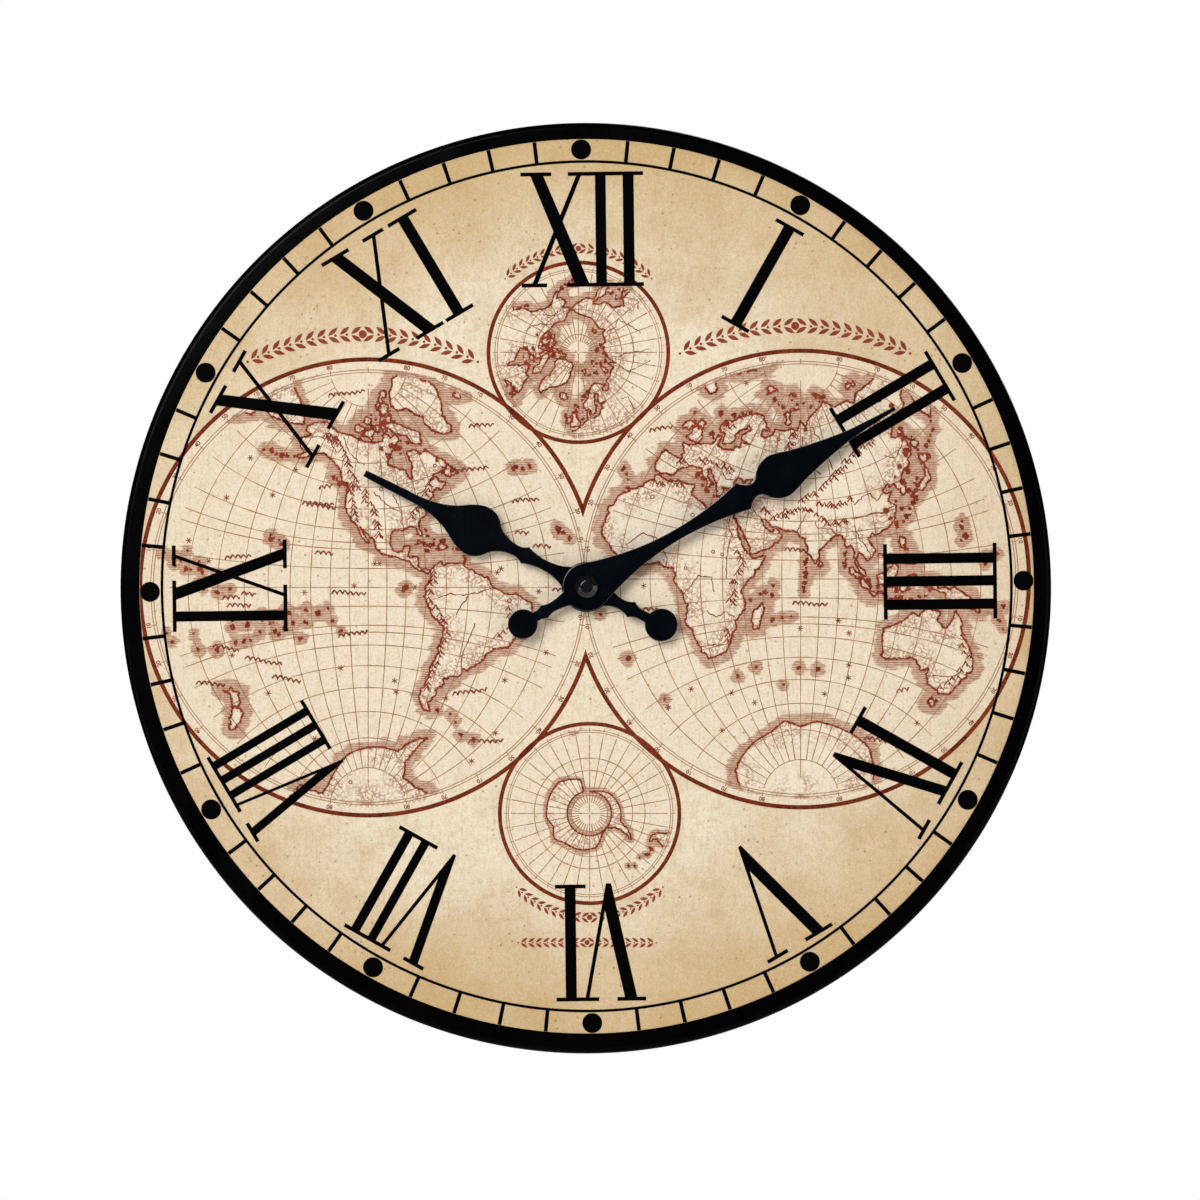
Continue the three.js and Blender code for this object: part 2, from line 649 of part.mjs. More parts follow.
function middlePlate() {
  const left = FREE_GAP - chamberHalf;
  const bottom = chamberBottom + FREE_GAP;
  const top = chamberTop - FREE_GAP;
  const sheet = block(left, -left, bottom, top, plateBack, plateFront);
  const hole = (radius, place) => placed(drill(radius, plateBack, plateFront, SMALL_SIDES), place);
  const armY = CORE_LENGTH / 2 - STATOR_ARM / 2;
  const posts = [-armY, armY].map((offset) =>
    placed(
      disc(STATOR_POST_RADIUS, statorFront + SEAT_GAP, plateBack + PLATE_THICKNESS / 2, SMALL_SIDES),
      { x: rotorPlace.x, y: coilY + offset },
    ),
  );
  return cut(
    join(sheet, ...posts),
    hole(CENTRE_SEAT_RADIUS + RUN_GAP, { x: 0, y: 0 }),
    hole(WORK_ARBOR_RADIUS + RUN_GAP, workPlace),
    ...[thirdPlace, intermediatePlace, rotorPlace].map((place) => hole(PIVOT_RADIUS + RUN_GAP, place)),
  );
}

// Wheels in mesh with each other
const [cannonTeeth, workTeeth] = meshedOutlines(
  pinionOf(TEETH.cannonPinion, cannonModule),
  wheelOf(TEETH.workWheel, cannonModule),
  WORK_BEARING,
);
const [hourTeeth, workPinionTeeth] = meshedOutlines(
  wheelOf(TEETH.hourWheel, hourModule),
  pinionOf(TEETH.workPinion, hourModule),
  WORK_BEARING,
);
const [centreTeeth, thirdPinionTeeth] = meshedOutlines(
  wheelOf(TEETH.centreWheel, TRAIN_MODULE),
  pinionOf(TEETH.thirdPinion, TRAIN_MODULE),
  THIRD_BEARING,
);
const [secondPinionTeeth, thirdTeeth] = meshedOutlines(
  pinionOf(TEETH.secondPinion, secondModule),
  wheelOf(TEETH.thirdWheel, secondModule),
  THIRD_BEARING,
);
const [secondTeeth, intermediatePinionTeeth] = meshedOutlines(
  wheelOf(TEETH.secondWheel, intermediateModule),
  pinionOf(TEETH.intermediatePinion, intermediateModule),
  INTERMEDIATE_BEARING,
);
const [intermediateTeethOutline, rotorPinionTeeth] = meshedOutlines(
  wheelOf(TEETH.intermediateWheel, ROTOR_MODULE),
  pinionOf(TEETH.rotorPinion, ROTOR_MODULE),
  ROTOR_BEARING,
);

// Motion work: minute arbor, hour wheel and the setting wheel between them
function minuteArbor() {
  const spindle = shaft(minuteArborBack, [
    [CENTRE_SEAT_RADIUS, cannonBack],
    [MINUTE_ARBOR_RADIUS, minuteHandBack - SEAT_GAP],
    [MINUTE_THREAD_RADIUS, minuteArborFront],
  ]);
  const collar = disc(CENTRE_SEAT_RADIUS + FREE_GAP, centreWheelFront + SEAT_GAP, plateBack - SEAT_GAP);
  const bore = disc(PIVOT_RADIUS + RUN_GAP, minuteArborBack - CUT_PAST, cannonBack, SMALL_SIDES);
  return cut(join(spindle, collar, plate(cannonTeeth, cannonBack, cannonFront)), bore);
}

function centreWheel() {
  const bore = drill(CENTRE_SEAT_RADIUS + PRESS_GAP, centreWheelBack, centreWheelFront);
  return cut(plate(centreTeeth, centreWheelBack, centreWheelFront), bore);
}

function hourWheel() {
  const tube = disc(HOUR_TUBE_RADIUS, hourWheelBack, hourTubeFront);
  const wheel = plate(hourTeeth, hourWheelBack, hourWheelFront);
  const bore = drill(MINUTE_ARBOR_RADIUS + RUN_GAP, hourWheelBack, hourTubeFront);
  return cut(join(tube, wheel), bore);
}

function minuteWorkWheel() {
  const wheelFront = cannonFront - PINION_OVERLAP;
  const pinionFront = hourWheelFront + PINION_OVERLAP;
  const arbor = shaft(KNOB_SINK + KNOB_ROOF + FREE_GAP, [
    [WORK_ARBOR_RADIUS, pinionFront],
    [PIVOT_RADIUS, caseFloor + CASE_WALL / 2 - RUN_GAP],
  ]);
  const wheel = plate(workTeeth, wheelFront - WHEEL_THICKNESS, wheelFront);
  const pinion = plate(workPinionTeeth, wheelFront - WHEEL_THICKNESS / 2, pinionFront);
  return placed(join(arbor, wheel, pinion), workPlace);
}

function settingKnob() {
  const outline = new THREE.Shape();
  for (let step = 0; step < 2 * KNOB_GRIPS; step++) {
    const radius = KNOB_RADIUS - (step % 2) * KNOB_GRIP_DEPTH;
    const { x, y } = polar(radius, (step * Math.PI) / KNOB_GRIPS);
    if (step === 0) outline.moveTo(x, y);
    else outline.lineTo(x, y);
  }
  const front = KNOB_SINK + KNOB_HEIGHT;
  const bore = disc(WORK_ARBOR_RADIUS + PRESS_GAP, KNOB_SINK + KNOB_ROOF, front + CUT_PAST, SMALL_SIDES);
  const half = KNOB_SLOT_WIDTH / 2;
  const slotFront = KNOB_SINK + KNOB_SLOT_DEPTH;
  const slot = block(-KNOB_RADIUS, KNOB_RADIUS, -half, half, KNOB_SINK - CUT_PAST, slotFront);
  return placed(cut(plate(outline, KNOB_SINK, front), bore, slot), workPlace);
}

// Going train from the third wheel back to the rotor
function thirdWheel() {
  const shoulder = plateBack - FREE_GAP;
  const arbor = shaft(pivotBack, [
    [PIVOT_RADIUS, arborBack],
    [ARBOR_RADIUS, shoulder],
    [PIVOT_RADIUS, plateFront],
  ]);
  const wheel = plate(thirdTeeth, thirdWheelBack, thirdWheelFront);
  const pinion = plate(thirdPinionTeeth, thirdWheelFront - WHEEL_THICKNESS / 2, shoulder);
  return placed(join(arbor, wheel, pinion), thirdPlace);
}

function secondWheel() {
  const pinionFront = thirdWheelFront + PINION_OVERLAP / 2;
  const arbor = shaft(pivotBack, [
    [PIVOT_RADIUS, arborBack],
    [ARBOR_RADIUS, pinionFront],
    [PIVOT_RADIUS, plateFront - FREE_GAP],
  ]);
  const wheel = plate(secondTeeth, secondWheelBack, secondWheelFront);
  const pinion = plate(secondPinionTeeth, secondWheelFront - WHEEL_THICKNESS / 2, pinionFront);
  return join(arbor, wheel, pinion);
}

function intermediateWheel() {
  const arbor = shaft(pivotBack, [
    [PIVOT_RADIUS, arborBack],
    [ARBOR_RADIUS, plateBack - FREE_GAP],
    [PIVOT_RADIUS, plateFront],
  ]);
  const wheel = plate(intermediateTeethOutline, intermediateWheelBack, intermediateWheelFront);
  const pinionBack = intermediateWheelFront - WHEEL_THICKNESS / 2;
  const pinion = plate(intermediatePinionTeeth, pinionBack, secondWheelFront + PINION_OVERLAP);
  return placed(join(arbor, wheel, pinion), intermediatePlace);
}

function rotorPinion() {
  const arbor = shaft(pivotBack, [
    [PIVOT_RADIUS, arborBack],
    [ARBOR_RADIUS, plateBack - FREE_GAP],
    [PIVOT_RADIUS, plateFront],
  ]);
  const pinion = plate(rotorPinionTeeth, arborBack, rotorPinionFront);
  return placed(join(arbor, pinion), rotorPlace);
}

function rotorMagnet() {
  const back = rotorPinionFront + SEAT_GAP;
  return placed(ring(MAGNET_RADIUS, ARBOR_RADIUS + PRESS_GAP, back, back + MAGNET_HEIGHT), rotorPlace);
}

// Stepping motor
function stator() {
  const left = rotorPlace.x - statorReach;
  const right = rotorPlace.x + statorReach;
  const armRight = coilX + CORE_WIDTH / 2;
  const bottom = coilY - CORE_LENGTH / 2;
  const top = coilY + CORE_LENGTH / 2;
  const outline = new THREE.Shape();
  outline.moveTo(left, bottom);
  outline.lineTo(armRight, bottom);
  outline.lineTo(armRight, bottom + STATOR_ARM);
  outline.lineTo(right, bottom + STATOR_ARM);
  outline.lineTo(right, top - STATOR_ARM);
  outline.lineTo(armRight, top - STATOR_ARM);
  outline.lineTo(armRight, top);
  outline.lineTo(left, top);
  const hole = drill(MAGNET_RADIUS + STATOR_AIR_GAP, statorBack, statorFront);
  return cut(plate(outline, statorBack, statorFront), placed(hole, rotorPlace));
}

function coilCore() {
  const half = CORE_WIDTH / 2;
  const reach = CORE_LENGTH / 2;
  return block(coilX - half, coilX + half, coilY - reach, coilY + reach, coreBack, coreFront);
}

// Stands a turned piece up so that it lies along the coil
function alongCoil(geometry) {
  return geometry.rotateX(-Math.PI / 2).translate(coilX, coilY, coilDepth);
}

function coilBobbin() {
  const half = bobbinLength / 2;
  const spool = turned([
    [0, -half],
    [BOBBIN_FLANGE_RADIUS, -half],
    [BOBBIN_FLANGE_RADIUS, BOBBIN_FLANGE - half],
    [BOBBIN_RADIUS, BOBBIN_FLANGE - half],
    [BOBBIN_RADIUS, half - BOBBIN_FLANGE],
    [BOBBIN_FLANGE_RADIUS, half - BOBBIN_FLANGE],
    [BOBBIN_FLANGE_RADIUS, half],
    [0, half],
  ]);
  const slotX = CORE_WIDTH / 2 + RUN_GAP;
  const slotDepth = CORE_THICKNESS / 2 + RUN_GAP;
  const slot = block(-slotX, slotX, -slotDepth, slotDepth, -bobbinLength, bobbinLength);
  return alongCoil(cut(spool, slot));
}

function coilWinding() {
  const half = bobbinLength / 2 - BOBBIN_FLANGE - SEAT_GAP;
  return alongCoil(ring(WINDING_RADIUS, BOBBIN_RADIUS + PRESS_GAP, -half, half));
}

// Circuit board and its two components
function circuitBoard() {
  const right = circuitLeft + CIRCUIT_WIDTH;
  return block(circuitLeft, right, circuitBottom, circuitTop, circuitBack, circuitFront);
}

function chipCover() {
  const front = circuitBack - SEAT_GAP;
  const domeSteps = 4;
  const profile = [];
  for (let step = 0; step <= domeSteps; step++) {
    const turn = (Math.PI / 2) * (step / domeSteps);
    profile.push([CHIP_RADIUS * Math.sin(turn), front - CHIP_HEIGHT * Math.cos(turn)]);
  }
  profile.push([0, front]);
  const y = crystalBottom + CRYSTAL_LENGTH + COMPONENT_GAP + CHIP_RADIUS;
  return placed(turned(profile, SMALL_SIDES), { x: componentX, y });
}

function crystalCan() {
  const can = disc(CRYSTAL_RADIUS, 0, CRYSTAL_LENGTH, SMALL_SIDES).rotateX(-Math.PI / 2);
  return can.translate(componentX, crystalBottom, circuitBack - SEAT_GAP - CRYSTAL_RADIUS);
}

// Battery and its contacts
function battery() {
  const half = BATTERY_LENGTH / 2;
  const shoulder = half - BATTERY_NUB_LENGTH;
  const cell = turned([
    [0, -half],
    [BATTERY_RADIUS - BATTERY_END_BEVEL, -half],
    [BATTERY_RADIUS, BATTERY_END_BEVEL - half],
    [BATTERY_RADIUS, shoulder - BATTERY_END_BEVEL],
    [BATTERY_RADIUS - BATTERY_END_BEVEL, shoulder],
    [BATTERY_NUB_RADIUS, shoulder],
    [BATTERY_NUB_RADIUS, half],
    [0, half],
  ]);
  return cell.rotateY(-Math.PI / 2).translate(0, batteryY, batteryDepth);
}

// Outline of a bent strip of even thickness along a line of points
function strip(points, thickness) {
  const offset = (side) =>
    points.map((point, i) => {
      const before = points[Math.max(i - 1, 0)];
      const after = points[Math.min(i + 1, points.length - 1)];
      const into = point.clone().sub(i > 0 ? before : point).normalize();
      const out = after.clone().sub(point).normalize();
      const along = into.clone().add(out).normalize();
      const normal = new THREE.Vector2(-along.y, along.x);
      const straight = i > 0 && i < points.length - 1 ? along.dot(out) : 1;
      return point.clone().addScaledVector(normal, (side * thickness) / 2 / straight);
    });
  return new THREE.Shape([...offset(1), ...offset(-1).toReversed()]);
}

// A contact's strip starts as a sprung leaf at the battery's end and goes up the wall of the case.
function contact(side, route) {
  const wallX = chamberHalf - CONTACT_WALL_GAP - CONTACT_THICKNESS / 2;
  const leafX = BATTERY_LENGTH / 2 + SEAT_GAP + CONTACT_THICKNESS / 2;
  const points = [
    new THREE.Vector2(side * wallX, batteryY - CONTACT_LEAF),
    new THREE.Vector2(side * leafX, batteryY),
    new THREE.Vector2(side * wallX, batteryY + CONTACT_LEAF),
    ...route(wallX),
  ];
  return plate(strip(points, CONTACT_THICKNESS), contactBack, contactFront);
}

function contactPositive() {
  const level = circuitBottom + CONTACT_LAP;
  return contact(-1, (wallX) => [
    new THREE.Vector2(-wallX, level),
    new THREE.Vector2(circuitLeft + CONTACT_LAP, level),
  ]);
}

function contactNegative() {
  const level = chamberTop - CONTACT_WALL_GAP - CONTACT_THICKNESS / 2;
  return contact(1, (wallX) => [
    new THREE.Vector2(wallX, level),
    new THREE.Vector2(circuitLeft + CIRCUIT_WIDTH - CONTACT_LAP, level),
  ]);
}

// Finishes: colour, roughness and metalness
const BLACK_LACQUER = [0x16171a, 0.42, 0];
const PARCHMENT = [0xe4cfa6, 0.75, 0];
const HAND_BLACK = [0x18181b, 0.5, 0.1];
const GLOSS_BLACK = [0x1b1c20, 0.25, 0.3];
const CASE_BLACK = [0x202124, 0.55, 0];
const RUBBER = [0x1d1d1d, 0.9, 0];
const BRASS = [0xb99a56, 0.35, 1];
const STEEL = [0xb8babd, 0.3, 1];
const COPPER = [0xa5622f, 0.4, 0.9];
const WHITE_NYLON = [0xe6e4dc, 0.5, 0];
const RED_NYLON = [0xa8452f, 0.5, 0];
const MAGNET_GREY = [0x4a4b50, 0.4, 0.8];
const CIRCUIT_BROWN = [0x7d5a2a, 0.6, 0];
const CELL_JACKET = [0x2c5f86, 0.35, 0.2];

const pieces = [
  ["dial_board", dialBoard(), BLACK_LACQUER],
  ["dial_print", dialPrint(), PARCHMENT],
  ["rubber_gasket", ring(GASKET_RADIUS, THREAD_RADIUS + FREE_GAP, gasketBack, gasketFront), RUBBER],
  ["fixing_washer", ring(WASHER_RADIUS, THREAD_RADIUS + FREE_GAP, washerBack, washerFront), BRASS],
  ["fixing_nut", fixingNut(), BRASS],
  ["threaded_bushing", threadedBushing(), BRASS],
  ["hour_hand", hourHand(), HAND_BLACK],
  ["minute_hand", minuteHand(), HAND_BLACK],
  ["hand_cap_nut", capNut(), GLOSS_BLACK],
  ["movement_case", movementCase(), CASE_BLACK],
  ["rear_cover", rearCover(), CASE_BLACK],
  ["middle_plate", middlePlate(), WHITE_NYLON],
  ["minute_arbor", minuteArbor(), BRASS],
  ["centre_wheel", centreWheel(), WHITE_NYLON],
  ["hour_wheel", hourWheel(), WHITE_NYLON],
  ["minute_work_wheel", minuteWorkWheel(), WHITE_NYLON],
  ["setting_knob", settingKnob(), CASE_BLACK],
  ["third_wheel", thirdWheel(), WHITE_NYLON],
  ["second_wheel", secondWheel(), RED_NYLON],
  ["intermediate_wheel", intermediateWheel(), WHITE_NYLON],
  ["rotor_pinion", rotorPinion(), RED_NYLON],
  ["rotor_magnet", rotorMagnet(), MAGNET_GREY],
  ["stator", stator(), STEEL],
  ["coil_core", coilCore(), STEEL],
  ["coil_bobbin", coilBobbin(), WHITE_NYLON],
  ["coil_winding", coilWinding(), COPPER],
  ["circuit_board", circuitBoard(), CIRCUIT_BROWN],
  ["chip_cover", chipCover(), CASE_BLACK],
  ["crystal_can", crystalCan(), STEEL],
  ["contact_positive", contactPositive(), STEEL],
  ["contact_negative", contactNegative(), STEEL],
  ["battery", battery(), CELL_JACKET],
];

const clock = new THREE.Group();
clock.name = "wall_clock";
clock.rotation.x = Math.PI / 2;
for (const [name, geometry, [color, roughness, metalness]] of pieces) {
  const mesh = new THREE.Mesh(geometry, new THREE.MeshStandardMaterial({ color, roughness, metalness }));
  mesh.name = name;
  clock.add(mesh);
}

export default clock;
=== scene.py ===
"""Looks of a round wall clock: a map print on a black-edged board, spade hands and a battery movement.

Sizes are millimetres as the clock is seen from the front: x to the right, y up, and depth from the wall
towards the viewer. A solid is turned into the frame's metres and axes when its object is made.
"""

import logging
import math
from abc import ABC, abstractmethod
from collections.abc import Callable, Iterable, Sequence
from dataclasses import dataclass, field
from enum import Enum, IntEnum
from functools import reduce
from typing import ClassVar

import bmesh
import bpy
import numpy as np
from mathutils import Matrix, Vector
from mathutils.geometry import delaunay_2d_cdt
from mathutils.kdtree import KDTree


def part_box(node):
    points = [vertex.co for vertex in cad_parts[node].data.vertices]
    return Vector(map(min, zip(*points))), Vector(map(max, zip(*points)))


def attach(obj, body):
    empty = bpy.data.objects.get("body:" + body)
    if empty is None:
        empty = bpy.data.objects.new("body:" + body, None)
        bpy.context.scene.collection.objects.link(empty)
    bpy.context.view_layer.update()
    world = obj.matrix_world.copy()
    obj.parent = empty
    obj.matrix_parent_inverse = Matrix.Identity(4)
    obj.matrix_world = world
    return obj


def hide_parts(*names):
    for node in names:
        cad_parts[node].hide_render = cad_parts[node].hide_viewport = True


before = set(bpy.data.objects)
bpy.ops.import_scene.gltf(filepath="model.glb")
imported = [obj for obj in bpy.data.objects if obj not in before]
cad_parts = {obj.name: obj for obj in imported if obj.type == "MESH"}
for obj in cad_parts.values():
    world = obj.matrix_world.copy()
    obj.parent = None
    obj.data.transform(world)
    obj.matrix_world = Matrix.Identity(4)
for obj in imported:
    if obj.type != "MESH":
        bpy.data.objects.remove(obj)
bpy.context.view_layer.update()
LOG = logging.getLogger("clock")
MM = 0.001
FULL_TURN = 360
TINY = 1e-12
MITRE_LIMIT = 0.5
WELD = 1e-6
FLAT_ANGLE = math.radians(1)
STEEP_ANGLE = math.radians(40)
OPEN_SEA = 60.0

Array = np.ndarray
Point = tuple[float, float]
Triple = tuple[float, float, float]
Colour = tuple[float, float, float, float]
Piece = bpy.types.Object


class Body(Enum):
    """Moving bodies that pieces ride on."""

    CLOCK = "clock_body"
    MINUTE = "minute_group"
    HOUR = "hour_group"
    KNOB = "setting_group"
    CELL = "battery_group"


class Axis(Enum):
    """Directions that a turned piece can stand in."""

    DEPTH = "towards the viewer"
    ACROSS = "to the right"


class Layer(IntEnum):
    """Printed layers from the sheet upwards."""

    GRID = 0
    BORDER = 1
    RIVER = 2
    COAST = 3
    HILL = 4
    WAVE = 5
    FIGURE = 6
    RING = 7


class Grain(Enum):
    """Directions of fine machining lines on metal."""

    TURNED = "rings round the middle"
    BRUSHED = "straight lines across"
    SPECKLED = "no direction"


class Fill(IntEnum):
    """Ways to fill flat contours with triangles."""

    UNION = 1
    HOLES_OPEN = 2


def colour(code: str) -> Colour:
    """Linear colour of a six-digit hex code, by the sRGB curve."""
    parts = [int(code[i : i + 2], 16) / 255 for i in (0, 2, 4)]
    return *(p / 12.92 if p <= 0.04045 else ((p + 0.055) / 1.055) ** 2.4 for p in parts), 1.0


def depths(node: str) -> Point:
    """Depth of a solid's back and of its front."""
    low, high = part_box(node)
    return -high.y / MM, -low.y / MM


def middle(node: str) -> Point:
    """Centre of a solid as seen from the front."""
    low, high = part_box(node)
    return (low.x + high.x) / 2 / MM, (low.z + high.z) / 2 / MM


def half_width(node: str) -> float:
    """Half of a solid's width as seen from the front."""
    low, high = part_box(node)
    return (high.x - low.x) / 2 / MM


def arc(radius: float, start: float, end: float, steps: int, centre: Point = (0, 0)) -> Array:
    """Points along an arc.

    Args:
        radius: Radius of the arc.
        start: First angle in degrees, anticlockwise from the right.
        end: Last angle in degrees.
        steps: Number of equal steps between the two.
        centre: Centre of the arc.

    Returns:
        One row of x and y for each point.
    """
    turn = np.radians(np.linspace(start, end, steps + 1))
    return np.stack([centre[0] + radius * np.cos(turn), centre[1] + radius * np.sin(turn)], axis=1)


def circle(radius: float, sides: int, centre: Point = (0, 0)) -> Array:
    """Points round a full circle, anticlockwise from the right."""
    return arc(radius, 0, FULL_TURN, sides, centre)[:-1]


def clockwise(points: Array, degrees: float, centre: Point = (0, 0)) -> Array:
    """Points turned clockwise about the origin and then moved.

    Args:
        points: The points.
        degrees: How far they are turned.
        centre: Where the origin goes.

    Returns:
        The points in their new places.
    """
    turn = math.radians(degrees)
    x, y = points.T
    turned = [x * math.cos(turn) + y * math.sin(turn), y * math.cos(turn) - x * math.sin(turn)]
    return np.stack(turned, axis=1) + centre


def lengths(vectors: Array) -> Array:
    """Length of each vector in a column, never quite zero."""
    return np.linalg.norm(vectors, axis=1, keepdims=True) + TINY


def leftward(vectors: Array) -> Array:
    """Vectors turned to the left by a quarter."""
    return np.stack([-vectors[:, 1], vectors[:, 0]], axis=1)


def sideways(path: Array, closed: bool) -> Array:
    """Unit vectors to the left of a path at each of its points, stretched at its corners.

    Args:
        path: Points of the path.
        closed: Whether the last point joins the first.

    Returns:
        One vector for each point.
    """
    ahead = np.roll(path, -1, axis=0) - path
    behind = path - np.roll(path, 1, axis=0)
    if not closed:
        ahead[-1] = behind[-1]
        behind[0] = ahead[0]
    ahead /= lengths(ahead)
    behind /= lengths(behind)
    along = ahead + behind
    along /= lengths(along)
    return leftward(along) / np.maximum((along * ahead).sum(axis=1, keepdims=True), MITRE_LIMIT)


def raised(path: Array, depth: float) -> Array:
    """Flat points with one depth given to them all."""
    return np.column_stack([path, np.full(len(path), depth)])


def strokes(path: Array, width: float | Array, closed: bool = False) -> list[Array]:
    """Flat quads along a line, one for each of its steps.

    Args:
        path: Points of its middle.
        width: Its width, or one for each point in a column.
        closed: Whether the last point joins the first.

    Returns:
        Anticlockwise contour of each quad.
    """
    half = np.broadcast_to(np.asarray(width, float) / 2, (len(path), 1))
    shift = sideways(path, closed) * half
    after = np.roll(path, -1, axis=0)
    square = leftward(after - path) * half / lengths(after - path)
    turned = np.roll(shift, -1, axis=0)
    quads = np.stack([path - shift, after - turned, after + turned, path + shift], axis=1)
    plain = np.stack([path - square, after - square, after + square, path + square], axis=1)
    side = np.roll(quads, -1, axis=1) - quads
    last = np.roll(side, 1, axis=1)
    folded = (last[..., 0] * side[..., 1] <= last[..., 1] * side[..., 0]).any(axis=1)
    quads[folded] = plain[folded]
    return list(quads if closed else quads[:-1])


class Solid:
    """Points and faces of one piece, gathered in the drawing's millimetres."""

    BULGE = 0.3
    PLATE_WELD = 1e-7
    FILM_WELD = 1e-4

    def __init__(self) -> None:
        """Starts with no points."""
        self.points: list[Array] = []
        self.count = 0
        self.faces: list[tuple[int, ...]] = []
        self.tints: list[int] = []

    def add(self, points: Array, faces: Iterable[Sequence[int]], tint: int = 0) -> None:
        """Adds faces over new points.

        Args:
            points: Rows of x, y and depth.
            faces: Corners of each face, counted from the first of these points.
            tint: Material slot of the faces.
        """
        start = self.count
        made = [tuple(start + corner for corner in face) for face in faces]
        self.points.append(np.asarray(points, float))
        self.count += len(points)
        self.faces.extend(made)
        self.tints.extend([tint] * len(made))

    def loft(
        self, loops: Array, looped: bool = False, capped: bool = True, tints: Sequence[int] = (0,)
    ) -> None:
        """Joins a row of closed loops with quads.

        Args:
            loops: Points by loop, by place in the loop, by coordinate.
            looped: Whether the last loop joins the first.
            capped: Whether the first and the last loop are closed by a face.
            tints: Material slot of each band between two loops, the last one repeated.
        """
        rows, sides, _ = loops.shape
        start = self.count
        self.add(loops.reshape(-1, 3), [])
        for row in range(rows if looped else rows - 1):
            here = start + row * sides
            there = start + (row + 1) % rows * sides
            for side in range(sides):
                beside = (side + 1) % sides
                self.faces.append((here + side, here + beside, there + beside, there + side))
            self.tints.extend([tints[min(row, len(tints) - 1)]] * sides)
        if capped and not looped:
            last = start + (rows - 1) * sides
            self.faces.append(tuple(range(start + sides - 1, start - 1, -1)))
            self.faces.append(tuple(range(last, last + sides)))
            self.tints.extend([tints[0], tints[-1]])

    def turn(
        self, profile: Sequence[Point], sides: int, centre: Point = (0, 0), axis: Axis = Axis.DEPTH,
        hollow: bool = False, tints: Sequence[int] = (0,),
    ) -> None:
        """Turns a profile on a lathe.

        Args:
            profile: Radius and place along the axis of each point.
            sides: Number of flats round the axis.
            centre: Where the axis stands: x and y, or y and depth for a piece that lies across.
            axis: Direction of the axis.
            hollow: Whether the profile closes on itself round a bore.
            tints: Material slot of each band.
        """
        loops = []
        for radius, along in profile:
            first, second = circle(radius, sides, centre).T
            flat = np.full(sides, along)
            columns = (first, second, flat) if axis is Axis.DEPTH else (flat, first, second)
            loops.append(np.column_stack(columns))
        self.loft(np.array(loops), looped=hollow, tints=tints)

    def ribbon(self, path: Array, width: float, back: float, front: float, closed: bool = False) -> None:
        """Adds a flat closed strip along a path.

        Args:
            path: Points of its middle line.
            width: Width of the strip.
            back: Depth of its back.
            front: Depth of its front.
            closed: Whether the last point joins the first.
        """
        shift = sideways(path, closed) * width / 2
        left, right = path + shift, path - shift
        sections = [raised(left, back), raised(left, front), raised(right, front), raised(right, back)]
        self.loft(np.stack(sections, axis=1), looped=closed)

    def plate(
        self, outline: Array, back: float, front: float, bevel: float = 0, holes: Sequence[Array] = (),
        edge_tint: int = 0,
    ) -> None:
        """Adds a flat plate with softened edges.

        Args:
            outline: Anticlockwise outer contour.
            back: Depth of its back.
            front: Depth of its front.
            bevel: Size of the softened edge, or 0 for a sharp one.
            holes: Clockwise contours of its holes.
            edge_tint: Material slot of its edges.
        """
        levels = [(0, back), (0, front)]
        if bevel:
            soft = self.BULGE * bevel
            rise = [(bevel, back), (soft, back + soft), (0, back + bevel)]
            levels = [*rise, (0, front - bevel), (soft, front - soft), (bevel, front)]
        contours = [outline, *holes]
        starts = []
        for contour in contours:
            inward = sideways(contour, True)
            starts.append(self.count)
            loops = np.array([raised(contour + inward * inset, depth) for inset, depth in levels])
            self.loft(loops, capped=False, tints=(edge_tint,))
        inset = levels[0][0]
        flat = [contour + sideways(contour, True) * inset for contour in contours]
        spans = np.cumsum([0, *map(len, contours)])
        rings = [list(range(a, b)) for a, b in zip(spans, spans[1:])]
        corners = [Vector(p) for p in np.concatenate(flat)]
        _, _, faces, origins, _, _ = delaunay_2d_cdt(corners, [], rings, Fill.HOLES_OPEN, self.PLATE_WELD)
        owner = [np.searchsorted(spans, found[0], side="right") - 1 for found in origins]
        for level in (0, len(levels) - 1):
            place = [
                starts[o] + level * len(contours[o]) + found[0] - spans[o] for o, found in zip(owner, origins)
            ]
            self.faces.extend(tuple(int(place[corner]) for corner in face) for face in faces)
            self.tints.extend([0] * len(faces))

    def film(self, shapes: Sequence[Array], back: float, front: float) -> None:
        """Adds flat shapes that may overlap as one closed film.

        Args:
            shapes: Contours of the shapes.
            back: Depth of the film's back.
            front: Depth of its front.
        """
        spans = np.cumsum([0, *map(len, shapes)])
        rings = [list(range(a, b)) for a, b in zip(spans, spans[1:])]
        corners = [Vector(p) for p in np.concatenate(shapes)]
        merged, _, found, _, _, owners = delaunay_2d_cdt(corners, [], rings, Fill.UNION, self.FILM_WELD)
        faces = [face for face, owner in zip(found, owners) if owner]
        flat = np.array([tuple(p) for p in merged])
        count = len(flat)
        edges = {(f[i - 1], f[i]) for f in faces for i in range(len(f))}
        rim = [(a, b) for a, b in sorted(edges) if (b, a) not in edges]
        made = [tuple(count + corner for corner in face) for face in faces]
        made += [tuple(reversed(face)) for face in faces]
        made += [(a, b, count + b, count + a) for a, b in rim]
        self.add(np.concatenate([raised(flat, back), raised(flat, front)]), made)

